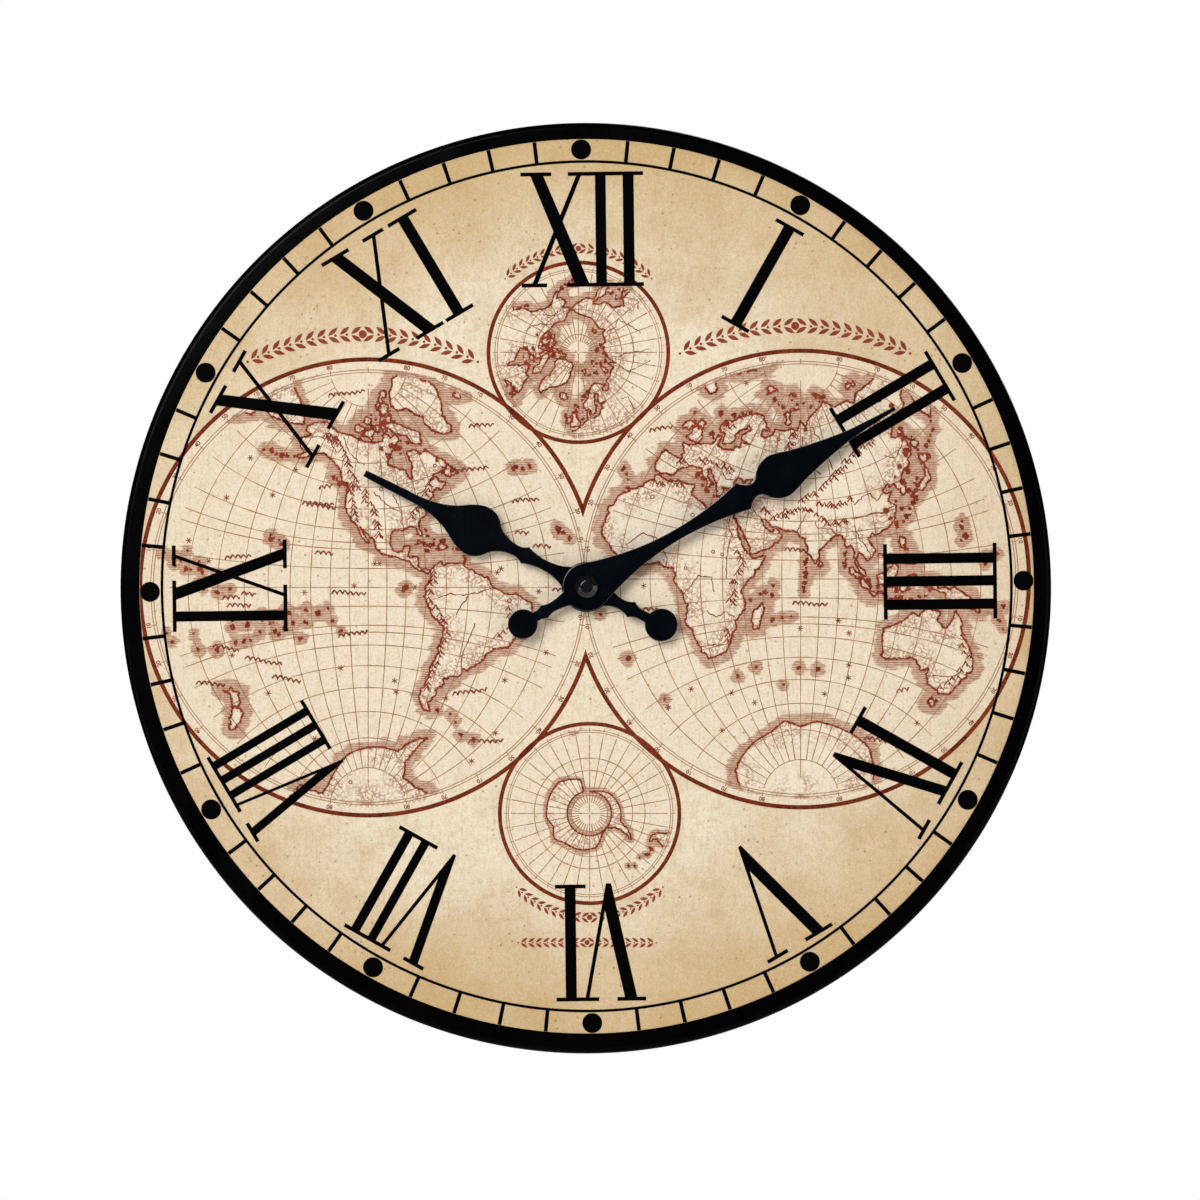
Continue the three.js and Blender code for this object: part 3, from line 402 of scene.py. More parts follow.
    def make(self, name: str, sharp: float = 35) -> Piece:
        """Makes the object in the frame's metres.

        Args:
            name: Name of the piece.
            sharp: Angle in degrees above which an edge stays sharp.

        Returns:
            The object, linked to the scene.
        """
        x, y, depth = np.concatenate(self.points).T * MM
        mesh = bpy.data.meshes.new(name)
        mesh.from_pydata(np.column_stack([x, -depth, y]).tolist(), [], self.faces)
        mesh.polygons.foreach_set("material_index", self.tints)
        shell = bmesh.new()
        shell.from_mesh(mesh)
        bmesh.ops.recalc_face_normals(shell, faces=shell.faces)
        shell.to_mesh(mesh)
        shell.free()
        return shown(name, mesh, sharp)


def shown(name: str, mesh: bpy.types.Mesh, sharp: float) -> Piece:
    """Links a mesh to the scene with smooth faces and sharp edges.

    Args:
        name: Name of the piece.
        mesh: Its mesh.
        sharp: Angle in degrees above which an edge stays sharp.

    Returns:
        The new object.
    """
    mesh.polygons.foreach_set("use_smooth", [True] * len(mesh.polygons))
    mesh.set_sharp_from_angle(angle=math.radians(sharp))
    made = bpy.data.objects.new(name, mesh)
    bpy.context.scene.collection.objects.link(made)
    return made


def softened(node: str, name: str, width: float, chosen: Callable[[Vector], bool]) -> Piece:
    """A copy of a solid with its flat faces merged and its outer edges rounded.

    Args:
        node: The solid to copy.
        name: Name of the new piece.
        width: Width of the rounded edge in millimetres.
        chosen: Says of an edge's middle, in metres, whether that edge is rounded.

    Returns:
        The new object.
    """
    shell = bmesh.new()
    shell.from_mesh(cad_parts[node].data)
    bmesh.ops.remove_doubles(shell, verts=shell.verts, dist=WELD)
    bmesh.ops.dissolve_limit(shell, angle_limit=FLAT_ANGLE, verts=shell.verts, edges=shell.edges)
    edges = [e for e in shell.edges if e.is_manifold and abs(e.calc_face_angle_signed()) > STEEP_ANGLE]
    edges = [e for e in edges if chosen((e.verts[0].co + e.verts[1].co) / 2)]
    bmesh.ops.bevel(shell, geom=edges, offset=width * MM, segments=2, profile=0.5, affect="EDGES")
    bmesh.ops.triangulate(shell, faces=[f for f in shell.faces if len(f.verts) > 4])
    mesh = bpy.data.meshes.new(name)
    shell.to_mesh(mesh)
    shell.free()
    mesh.materials.clear()
    return evened(shown(name, mesh, sharp=30))


def evened(piece: Piece) -> Piece:
    """Lets large faces rule the shading of a piece, so that they look flat."""
    piece.modifiers.new("even_shading", "WEIGHTED_NORMAL").keep_sharp = True
    return piece


def operator(operation: str, swapped: bool = False) -> Callable[["Value", "Value | float"], "Value"]:
    """Operator on a shader value.

    Args:
        operation: Name of its Math node's operation.
        swapped: Whether the other term comes first.

    Returns:
        The method that adds the node.
    """

    def method(value: "Value", term: "Value | float") -> "Value":
        """Result of the operation with another term."""
        return value.math(operation, term, value) if swapped else value.math(operation, value, term)

    return method


class Value:
    """A shader socket that takes part in sums; each operator adds a Math node."""

    __add__, __radd__ = operator("ADD"), operator("ADD", swapped=True)
    __sub__, __rsub__ = operator("SUBTRACT"), operator("SUBTRACT", swapped=True)
    __mul__, __rmul__ = operator("MULTIPLY"), operator("MULTIPLY", swapped=True)
    __truediv__, __rtruediv__ = operator("DIVIDE"), operator("DIVIDE", swapped=True)
    __pow__, __rpow__ = operator("POWER"), operator("POWER", swapped=True)
    most = operator("MAXIMUM")

    def __init__(self, tree: "Tree", socket: bpy.types.NodeSocket) -> None:
        """Wraps an output socket of a tree."""
        self.tree = tree
        self.socket = socket

    def math(self, operation: str, *terms: "Value | float") -> "Value":
        """Result of one Math node on the given terms."""
        return self.tree.node("ShaderNodeMath", {"operation": operation}, dict(enumerate(terms)))

    def other(self, out: str) -> "Value":
        """Another output of the same node."""
        return Value(self.tree, self.tree.found(self.socket.node.outputs, out))

    def __abs__(self) -> "Value":
        """Size without its sign."""
        return self.math("ABSOLUTE", self)

    def fraction(self) -> "Value":
        """Part after the decimal point."""
        return self.math("FRACT", self)

    def sine(self) -> "Value":
        """Sine of an angle in radians."""
        return self.math("SINE", self)

    def rise(self, low: "Value | float", high: "Value | float") -> "Value":
        """Runs from 0 to 1 between two values."""
        return self.tree.node("ShaderNodeClamp", {}, {"Value": (self - low) / (high - low)})


class Tree:
    """A node tree with one method that adds any node."""

    def __init__(self, tree: bpy.types.NodeTree) -> None:
        """Works on a material's or the world's tree."""
        self.tree = tree

    @staticmethod
    def found(sockets: Iterable[bpy.types.NodeSocket], key: int | str) -> bpy.types.NodeSocket:
        """Finds a socket.

        Args:
            sockets: Where to look.
            key: Its number, its identifier or its name.

        Returns:
            The socket.
        """
        listed = list(sockets)
        if isinstance(key, int):
            return listed[key]
        exact = [s for s in listed if s.identifier == key]
        return (exact or [s for s in listed if s.name == key])[0]

    def feed(self, node: bpy.types.Node, sockets: dict[int | str, "Value | float | Colour"]) -> None:
        """Sets or links the inputs of a node.

        Args:
            node: The node.
            sockets: A value or a link for each input.
        """
        for key, value in sockets.items():
            socket = self.found(node.inputs, key)
            if isinstance(value, Value):
                self.tree.links.new(value.socket, socket)
            else:
                socket.default_value = value

    def node(
        self, kind: str, settings: dict[str, object] | None = None,
        sockets: dict[int | str, "Value | float | Colour"] | None = None, out: int | str = 0,
    ) -> Value:
        """Adds a node.

        Args:
            kind: The node's type.
            settings: Attributes that are set first.
            sockets: A value or a link for each input.
            out: The output that is wanted.

        Returns:
            That output.
        """
        made = self.tree.nodes.new(kind)
        for key, setting in (settings or {}).items():
            setattr(made, key, setting)
        self.feed(made, sockets or {})
        return Value(self, self.found(made.outputs, out))


class Shader(Tree):
    """The node tree of one material, with the patterns that finishes share."""

    def __init__(self, name: str) -> None:
        """Starts a material with a plain surface.

        Args:
            name: Name of the material.
        """
        self.material = bpy.data.materials.new(name)
        self.material.use_nodes = True
        super().__init__(self.material.node_tree)
        self.surface = self.tree.nodes["Principled BSDF"]

    def place(self, stretch: Triple = (1, 1, 1), lean: float = 0) -> Value:
        """Place on the object in millimetres.

        Args:
            stretch: What each axis is multiplied by.
            lean: Degrees by which it is turned before that.

        Returns:
            The place as a vector.
        """
        spot = self.node("ShaderNodeTexCoord", out="Object")
        if lean:
            sockets = {"Vector": spot, "Angle": math.radians(lean)}
            spot = self.node("ShaderNodeVectorRotate", {"rotation_type": "Y_AXIS"}, sockets)
        scale = tuple(share / MM for share in stretch)
        return self.node("ShaderNodeVectorMath", {"operation": "MULTIPLY"}, {0: spot, 1: scale})

    def axes(self) -> tuple[Value, Value, Value]:
        """Place to the right, towards the back and upwards, in millimetres."""
        right = self.node("ShaderNodeSeparateXYZ", {}, {0: self.place()}, "X")
        return right, right.other("Y"), right.other("Z")

    def noise(self, size: float, detail: float = 2, place: Value | None = None) -> Value:
        """Soft random pattern from 0 to 1 with features of a size in millimetres."""
        spot = place or self.place()
        return self.node(
            "ShaderNodeTexNoise", {}, {"Vector": spot, "Scale": 1 / size, "Detail": detail}, "Fac"
        )

    def specks(self, size: float) -> Value:
        """Distance to scattered points, each in a cell of a size in millimetres."""
        sockets = {"Vector": self.place(), "Scale": 1 / size}
        return self.node("ShaderNodeTexVoronoi", {}, sockets, "Distance")

    def blend(self, share: Value, first: Value | str, second: str) -> Value:
        """Mixes two colours.

        Args:
            share: Share of the second one.
            first: The first one, as a link or a hex code.
            second: Hex code of the second one.

        Returns:
            The mixed colour.
        """
        start = first if isinstance(first, Value) else colour(first)
        sockets = {"Factor_Float": share, "A_Color": start, "B_Color": colour(second)}
        return self.node("ShaderNodeMix", {"data_type": "RGBA"}, sockets, "Result_Color")

    def finish(self, tone: Value, roughness: Value, **constants: float) -> None:
        """Sets the surface: what varies over it, and constants named with underscores."""
        named = {key.replace("_", " "): value for key, value in constants.items()}
        self.feed(self.surface, {"Base Color": tone, "Roughness": roughness, **named})

    def bump(self, height: Value, depth: float) -> None:
        """Raises the surface by a pattern of a depth in millimetres."""
        sockets = {"Height": height, "Distance": depth * MM, "Strength": 1.0}
        self.feed(self.surface, {"Normal": self.node("ShaderNodeBump", {}, sockets, "Normal")})


@dataclass(frozen=True)
class Finish(ABC):
    """A surface finish, whose material is made at its first use."""

    made: ClassVar[dict["Finish", bpy.types.Material]] = {}
    label: str

    def material(self) -> bpy.types.Material:
        """The material of this finish.

        Returns:
            The material, made once.
        """
        if self not in Finish.made:
            shader = Shader(self.label)
            self.paint(shader)
            Finish.made[self] = shader.material
        return Finish.made[self]

    @abstractmethod
    def paint(self, shader: Shader) -> None:
        """Adds the finish's nodes.

        Args:
            shader: Shader of the material.
        """


@dataclass(frozen=True)
class Paint(Finish):
    """Sprayed paint with a slight orange peel and dust."""

    tone: str
    worn: str
    roughness: float
    peel: float = 1.2
    depth: float = 0.012
    gloss: float = 0.3

    def paint(self, shader: Shader) -> None:
        """Clouded tone, uneven gloss and fine peel.

        Args:
            shader: Shader of its material.
        """
        cloud = shader.noise(14, 4)
        dust = shader.specks(0.9).rise(0.16, 0.05)
        rubbed = shader.noise(2.5, 3).rise(0.55, 0.8)
        tone = shader.blend(cloud.rise(0.3, 0.75), self.tone, self.worn)
        roughness = self.roughness + (cloud - 0.5) * 0.16 + dust * 0.12 + rubbed * 0.06
        shader.finish(tone, roughness, Specular_IOR_Level=self.gloss)
        shader.bump(shader.noise(self.peel, 2) + dust * 0.4, self.depth)


@dataclass(frozen=True)
class RawBoard(Finish):
    """Back of a pressed fibre board, with paint from the edge blown over its border."""

    tone: str
    dark: str
    fleck: str
    spray: str
    radius: float
    border: float
    centre: Point

    def paint(self, shader: Shader) -> None:
        """Fibres, flecks and a border of blown paint that ends in drops.

        Args:
            shader: Shader of its material.
        """
        right, _, up = shader.axes()
        cloud = shader.noise(40, 4)
        pores = shader.noise(0.8, 3)
        lanes = [shader.noise(0.6, 3, shader.place((1, 1, 0.14), lean)) for lean in (20, 80, 140)]
        fibres = [lane.rise(0.52, 0.74) for lane in lanes]
        fibre = fibres[0].most(fibres[1]).most(fibres[2])
        flecks = shader.specks(2.4).rise(0.2, 0.1) * shader.noise(6).rise(0.42, 0.55)
        tone = shader.blend(cloud.rise(0.3, 0.7), self.dark, self.tone)
        tone = shader.blend(fibre * 0.5, tone, self.fleck)
        tone = shader.blend(pores.rise(0.5, 0.75) * 0.6 + flecks * 0.4, tone, self.dark)
        reach = ((right - self.centre[0]) ** 2 + (up - self.centre[1]) ** 2) ** 0.5
        drift = (shader.noise(9, 3) - 0.5) * 5 + (shader.noise(60) - 0.5) * 16
        mist = (reach + drift).rise(self.radius - self.border, self.radius - 1)
        drops = shader.specks(0.8).rise(0.1 + mist * 0.9, mist * 0.9)
        sprayed = (mist * 1.3).rise(0.35, 1).most(drops * mist.rise(0.02, 0.2))
        tone = shader.blend(sprayed, tone, self.spray)
        shader.finish(tone, 0.86 - sprayed * 0.25 + (pores - 0.5) * 0.1, Specular_IOR_Level=0.25)
        shader.bump(fibre - pores * 0.7 - flecks * 0.6, 0.03)


@dataclass(frozen=True)
class Ink(Finish):
    """Printing ink that lies unevenly on rough paper."""

    tone: str
    faded: str
    spotting: float = 0.5
    roughness: float = 0.7
    gloss: float = 0.04

    def paint(self, shader: Shader) -> None:
        """Ink that thins out in spots and over wider patches.

        Args:
            shader: Shader of its material.
        """
        spots = shader.noise(0.7, 3).rise(0.42, 0.72)
        patches = shader.noise(11, 3).rise(0.35, 0.7)
        share = spots * self.spotting * 0.6 + patches * self.spotting * 0.4
        tone = shader.blend(share, self.tone, self.faded)
        shader.finish(tone, self.roughness + (spots - 0.5) * 0.1, Specular_IOR_Level=self.gloss)
        shader.bump(shader.noise(0.4, 2), 0.006)


@dataclass(frozen=True)
class Parchment(Finish):
    """Aged paper print: tanned towards its edge, pale on the maps, shaded along the coasts."""

    field_tone: str
    rim_tone: str
    stain: str
    map_tone: str
    land_tone: str
    shade_tone: str
    shore_tone: str
    spot_tone: str
    attribute: str
    centre: Point
    radius: float
    discs: tuple[tuple[Point, float], ...]
    pitch: float = 0.85
    shade_reach: float = 3.3
    pale_shift: float = 10
    pale_stretch: float = 0.88
    soft: float = 0.1

    def paint(self, shader: Shader) -> None:
        """Paper tones, coast shading and a felt-like tooth.

        Args:
            shader: Shader of its material.
        """
        right, _, up = shader.axes()
        across = (right - self.centre[0] + self.pale_shift) * self.pale_stretch
        reach = (across**2 + (up - self.centre[1]) ** 2) ** 0.5
        clouds = shader.noise(46, 5)
        blots = shader.noise(13, 5)
        mottle = shader.noise(2.2, 4)
        grain = shader.noise(0.45, 2)
        fibres = shader.noise(0.8, 3, shader.place((1, 1, 0.12)))
        edge = (reach + (clouds - 0.5) * 60 + (blots - 0.5) * 26).rise(self.radius * 0.6, self.radius)
        tone = shader.blend(edge, self.field_tone, self.rim_tone)
        tone = shader.blend(clouds.rise(0.5, 0.75) * 0.35, tone, self.rim_tone)
        tone = shader.blend(blots.rise(0.52, 0.8) * 0.35, tone, self.stain)
        inside = self.inside(right, up)
        tone = shader.blend(inside * (0.85 - edge * 0.3), tone, self.map_tone)
        tone = self.coasts(shader, tone, inside, up)
        tone = shader.blend(mottle.rise(0.46, 0.8) * (0.4 - inside * 0.22), tone, self.stain)
        tone = shader.blend(fibres.rise(0.54, 0.74) * 0.3, tone, self.stain)
        tone = shader.blend(grain.rise(0.5, 0.8) * 0.6, tone, self.stain)
        tone = shader.blend(grain.rise(0.46, 0.22) * 0.3, tone, self.land_tone)
        foxing = shader.specks(3.2).rise(0.17, 0.08) * shader.noise(24).rise(0.44, 0.6)
        tone = shader.blend(foxing * 0.75, tone, self.spot_tone)
        shader.finish(tone, 0.82 + (mottle - 0.5) * 0.12, Specular_IOR_Level=0.2)
        shader.bump(grain + mottle * 0.6, 0.012)

    def inside(self, right: Value, up: Value) -> Value:
        """Mask of the map discs.

        Args:
            right: Place to the right in millimetres.
            up: Place upwards.

        Returns:
            1 on the discs and 0 beside them.
        """
        masks = []
        for (x, y), radius in self.discs:
            reach = ((right - x) ** 2 + (up - y) ** 2) ** 0.5
            masks.append(reach.rise(radius + self.soft, radius - self.soft))
        return reduce(Value.most, masks)

    def coasts(self, shader: Shader, tone: Value, inside: Value, up: Value) -> Value:
        """Pale land, and shading lines on the sea side of each coast.

        Args:
            shader: The shader that is being made.
            tone: Colour so far.
            inside: Mask of the map discs.
            up: Place upwards in millimetres.

        Returns:
            The colour with the coasts added.
        """
        away = shader.node("ShaderNodeAttribute", {"attribute_name": self.attribute}, {}, "Fac")
        hatching = shader.place((0.1, 1, 1))
        fray = (shader.noise(self.pitch * 1.6, 1, hatching) - 0.5) * 4 + (shader.noise(9) - 0.5) * 4
        reach = (self.shade_reach + fray).most(1)
        shaded = away.rise(reach + 0.3, reach - 0.6) * away.rise(-0.1, 0.15) * inside
        wave = (up + (shader.noise(6) - 0.5) * 0.6) / self.pitch
        line = abs(wave.fraction() - 0.5).rise(0.36, 0.14)
        sketch = shader.noise(1.5, 3).rise(0.35, 0.65)
        tone = shader.blend(away.rise(0.1, -0.5) * inside * 0.2, tone, self.land_tone)
        tone = shader.blend(shaded * (0.34 + line * 0.4 + sketch * 0.26), tone, self.shade_tone)
        hatched = away.rise(-9, -4) * away.rise(-0.2, -0.6) * shader.noise(7).rise(0.38, 0.5) * inside
        squiggle = abs(shader.noise(1.6, 2) - 0.5).rise(0.075, 0.03)
        tone = shader.blend(hatched * squiggle * 0.7, tone, self.shore_tone)
        shore = (abs(away) + (shader.noise(0.8) - 0.5) * 0.8).rise(0.9, 0.2) * inside
        return shader.blend(shore * 0.4, tone, self.shore_tone)


@dataclass(frozen=True)
class Metal(Finish):
    """Bare or plated metal with fine machining lines."""

    tone: str
    dull: str
    roughness: float
    grain: Grain
    pitch: float = 0.25

    def paint(self, shader: Shader) -> None:
        """Lines of the tool and patches of tarnish.

        Args:
            shader: Shader of its material.
        """
        if self.grain is Grain.TURNED:
            right, _, up = shader.axes()
            lines = (((right**2 + up**2) ** 0.5) * (math.tau / self.pitch)).sine() * 0.5 + 0.5
        elif self.grain is Grain.BRUSHED:
            lines = shader.noise(self.pitch, 3, shader.place((0.04, 1, 1)))
        else:
            lines = shader.noise(self.pitch, 3)
        patches = shader.noise(4, 4).rise(0.4, 0.75)
        tone = shader.blend(patches * 0.7 + lines * 0.15, self.tone, self.dull)
        shader.finish(tone, self.roughness + patches * 0.12 + (lines - 0.5) * 0.1, Metallic=1.0)
        shader.bump(lines, 0.006)


@dataclass(frozen=True)
class Moulded(Finish):
    """Moulded plastic or rubber with a spark-eroded grain and rubbed spots."""

    tone: str
    rubbed: str
    roughness: float
    grain: float = 0.35
    depth: float = 0.015

    def paint(self, shader: Shader) -> None:
        """Fine grain, handling marks and faint flow lines.

        Args:
            shader: Shader of its material.
        """
        grain = shader.specks(self.grain)
        marks = shader.noise(3.5, 5).rise(0.5, 0.8)
        flow = shader.noise(6, 3, shader.place((0.15, 1, 1)))
        tone = shader.blend(marks * 0.5 + flow * 0.25, self.tone, self.rubbed)
        shader.finish(tone, self.roughness - marks * 0.1 + (flow - 0.5) * 0.08, Specular_IOR_Level=0.4)
        shader.bump(grain + flow * 0.3, self.depth)


@dataclass(frozen=True)
class Winding(Finish):
    """Enamelled wire wound side by side."""

    tone: str
    crevice_shade_tone: str
    pitch: float

    def paint(self, shader: Shader) -> None:
        """Turns of wire across the coil, darker where they meet as painted shade in the crevices.

        Args:
            shader: Shader of its material.
        """
        right, _, _ = shader.axes()
        turns = abs(((right + shader.noise(2) * 0.05) / self.pitch).fraction() - 0.5) * 2
        # Painted shade: the tone darkens towards the crevice between two turns.
        tone = shader.blend(turns, self.tone, self.crevice_shade_tone)
        shader.finish(tone, 0.32 + turns * 0.2, Metallic=0.85)
        shader.bump(1 - turns, 0.05)


@dataclass(frozen=True)
class Jacket(Finish):
    """Printed sleeve of a round cell: a main colour, a bright band and thin lines."""

    tone: str
    band: str
    line: str
    left: float
    right: float
    band_width: float = 13
    line_width: float = 0.7

    def paint(self, shader: Shader) -> None:
        """Bands along the cell, metallic flake and scuffs.

        Args:
            shader: Shader of its material.
        """
        along, _, _ = shader.axes()
        flake = shader.specks(0.25)
        scuffs = shader.noise(1.6, 5, shader.place((0.3, 1, 1))).rise(0.58, 0.78)
        start = self.left + self.band_width
        band = along.rise(start + 0.05, start - 0.05)
        lines = abs(along - start - 1.6).rise(self.line_width / 2 + 0.05, self.line_width / 2)
        lines = lines.most(abs(along - self.right + 4).rise(self.line_width / 2 + 0.05, self.line_width / 2))
        tone = shader.blend(band, self.tone, self.band)
        tone = shader.blend(lines, tone, self.line)
        tone = shader.blend(scuffs * 0.3, tone, self.line)
        shader.finish(tone, 0.3 + scuffs * 0.2 + flake * 0.08, Coat_Weight=0.3)
        shader.bump(shader.noise(3, 2) + scuffs * 0.2, 0.02)


@dataclass(frozen=True)
class Laminate(Finish):
    """Paper-based circuit board with copper tracks under a lacquer."""

    tone: str
    track: str
    pitch: float = 2.4

    def paint(self, shader: Shader) -> None:
        """Woven fibres and pale tracks.

        Args:
            shader: Shader of its material.
        """
        right, _, up = shader.axes()
        weft, warp = (shader.noise(0.35, 2, shader.place(share)) for share in ((1, 1, 0.3), (0.3, 1, 1)))
        weave = weft + warp
        lane = abs(((right + up * 0.5) / self.pitch).fraction() - 0.5).rise(0.22, 0.18)
        lane = lane * shader.noise(3).rise(0.45, 0.5)
        tone = shader.blend(lane * 0.8, self.tone, self.track)
        tone = shader.blend((weave - 0.7).rise(0, 0.6) * 0.25, tone, self.track)
        shader.finish(tone, 0.5 + (weave - 1) * 0.1)
        shader.bump(weave + lane, 0.02)


@dataclass(frozen=True)
class PaleFloor(Finish):
    """Matt seamless paper under the clock."""

    tone: str
    shade: str

    def paint(self, shader: Shader) -> None:
        """Faint clouds and tooth.

        Args:
            shader: Shader of its material.
        """
        tone = shader.blend(shader.noise(260, 4), self.tone, self.shade)
        shader.finish(tone, 0.85 + (shader.noise(30) - 0.5) * 0.1, Specular_IOR_Level=0.15)
        shader.bump(shader.noise(1.5, 2), 0.02)


LACQUER = Paint("black_lacquer", "010102", "030304", 0.2, depth=0.006, gloss=0.03)
HAND_PAINT = Paint("hand_black", "010307", "03060b", 0.26, peel=0.5, depth=0.003, gloss=0.04)
# The hands' edge band: glossier paint, with a tone a little lighter than the blade's as a painted highlight.
HAND_EDGE_PAINTED_HIGHLIGHT = Paint("hand_edge_painted_highlight", "0a0c10", "1a1d22", 0.24, peel=0.5, depth=0.003, gloss=0.9)
CAP_PAINT = Paint("cap_black", "030405", "0a0b0d", 0.14, peel=2.5, depth=0.002, gloss=0.55)
BLACK_INK = Ink("numeral_black", "010101", "040403", 0.5, 0.5, 0.015)
RING_INK = Ink("ring_red_brown", "53190a", "914224", 0.9)
COAST_INK = Ink("coast_red_brown", "602314", "a64a33", 0.95)
FINE_INK = Ink("fine_red_brown", "642e1f", "a05a46", 0.95)
GRID_INK = Ink("grid_brown", "8a5f40", "b48c6a", 0.9)
LEAF_INK = Ink("leaf_red_brown", "7a3222", "985440", 0.8)
BRASS = Metal("brass", "b08d43", "8a6b30", 0.3, Grain.TURNED)
STEEL = Metal("bright_steel", "b9bbbd", "8d9094", 0.3, Grain.BRUSHED)
CELL_STEEL = Metal("cell_steel", "c3c5c6", "9b9da0", 0.28, Grain.SPECKLED, 1.2)
MAGNET = Metal("magnet_grey", "4a4b4d", "36373a", 0.6, Grain.SPECKLED, 0.4)
CASE_PLASTIC = Moulded("case_black_plastic", "0b0b0c", "1b1b1d", 0.5)
# Marks moulded on the cover: the case's black plastic painted lighter grey as a painted sheen.
MARK_PLASTIC_PAINTED_SHEEN = Moulded("raised_mark_painted_sheen", "2e2e31", "4b4b4f", 0.4, 0.5, 0.008)
WHITE_NYLON = Moulded("white_nylon", "e4e2da", "cfcabc", 0.45, 0.6, 0.006)
RED_NYLON = Moulded("red_nylon", "a8261c", "8c1d16", 0.45, 0.6, 0.006)
CHIP_RESIN = Moulded("chip_resin", "0a0a0a", "161616", 0.35)
RUBBER = Moulded("gasket_rubber", "101011", "1d1c1b", 0.8, 0.7, 0.03)
COPPER = Winding("copper_wire", "b4642e", "5a2c12", 0.14)
LAMINATE = Laminate("circuit_brown", "6b4420", "9c7340")
FLOOR = PaleFloor("pale_floor", "ecebe8", "e2e0dc")

NODE_FINISHES = {
    BRASS: ("threaded_bushing", "minute_arbor"),
    WHITE_NYLON: (
        "middle_plate", "centre_wheel", "hour_wheel", "minute_work_wheel", "third_wheel", "second_wheel",
        "rotor_pinion", "coil_bobbin",
    ),
    RED_NYLON: ("intermediate_wheel",),
    MAGNET: ("rotor_magnet",),
    STEEL: ("stator", "coil_core", "contact_positive", "contact_negative"),
    COPPER: ("coil_winding",),
    LAMINATE: ("circuit_board",),
    CHIP_RESIN: ("chip_cover",),
    CELL_STEEL: ("crystal_can",),
}


def fit(piece: Piece, body: Body, slot: str, *finishes: Finish, nodes: Sequence[str] = ()) -> None:
    """Dresses a piece and fixes it to the body that carries it.

    Args:
        piece: The object.
        body: The body that it rides on.
        slot: The record's material slot; not used.
        finishes: One finish for each of its material slots.
        nodes: Solids that it stands for.
    """
    for finish in finishes:
        piece.data.materials.append(finish.material())
    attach(piece, body.value)
    if nodes:
        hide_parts(*nodes)
    LOG.info("%s: %d faces on %s", piece.name, len(piece.data.polygons), body.value)


@dataclass
class Board:
    """The round board: rounded and lacquered at the front, raw at the back."""

    edge_round: float = 2.2
    round_steps: int = 7
    back_bevel: float = 0.6
    edge_ring: float = 4
    hole: float = 4.9
    hole_ring: float = 8
    sides: int = 360
    spray_border: float = 15

    def build(self) -> None:
        """Turns the board's section round its own centre, with the hole on the hands' axis."""
        back, front = depths("dial_board")
        radius = half_width("dial_board")
        centre = middle("dial_board")
        inner = radius - self.edge_round
        edge = arc(self.edge_round, 0, 90, self.round_steps, (inner, front - self.edge_round))
        outer = [(radius - self.back_bevel, back), (radius, back + self.back_bevel), *map(tuple, edge)]
        outer += [(inner - self.edge_ring, front), (self.hole + self.hole_ring, front)]
        bore = [(self.hole, front), (self.hole, back)]
        loops = [raised(circle(reach, self.sides, centre), depth) for reach, depth in outer]
        loops += [raised(circle(reach, self.sides), depth) for reach, depth in bore]
        lacquered = len(outer) - 1
        solid = Solid()
        solid.loft(np.array(loops), looped=True, tints=[1, *[0] * lacquered, 1, 1])
        self.dress(evened(solid.make("board", sharp=40)))

    def dress(self, piece: Piece) -> None:
        """Black lacquer in front and round the edge, raw fibre board behind."""
        raw = RawBoard(
            "raw_fibreboard", tone="a88458", dark="86643f", fleck="bd9c6f", spray="0b0b0b",
            radius=half_width("dial_board"), border=self.spray_border, centre=middle("dial_board"),
        )
        fit(piece, Body.CLOCK, "board_black", LACQUER, raw, nodes=["dial_board"])


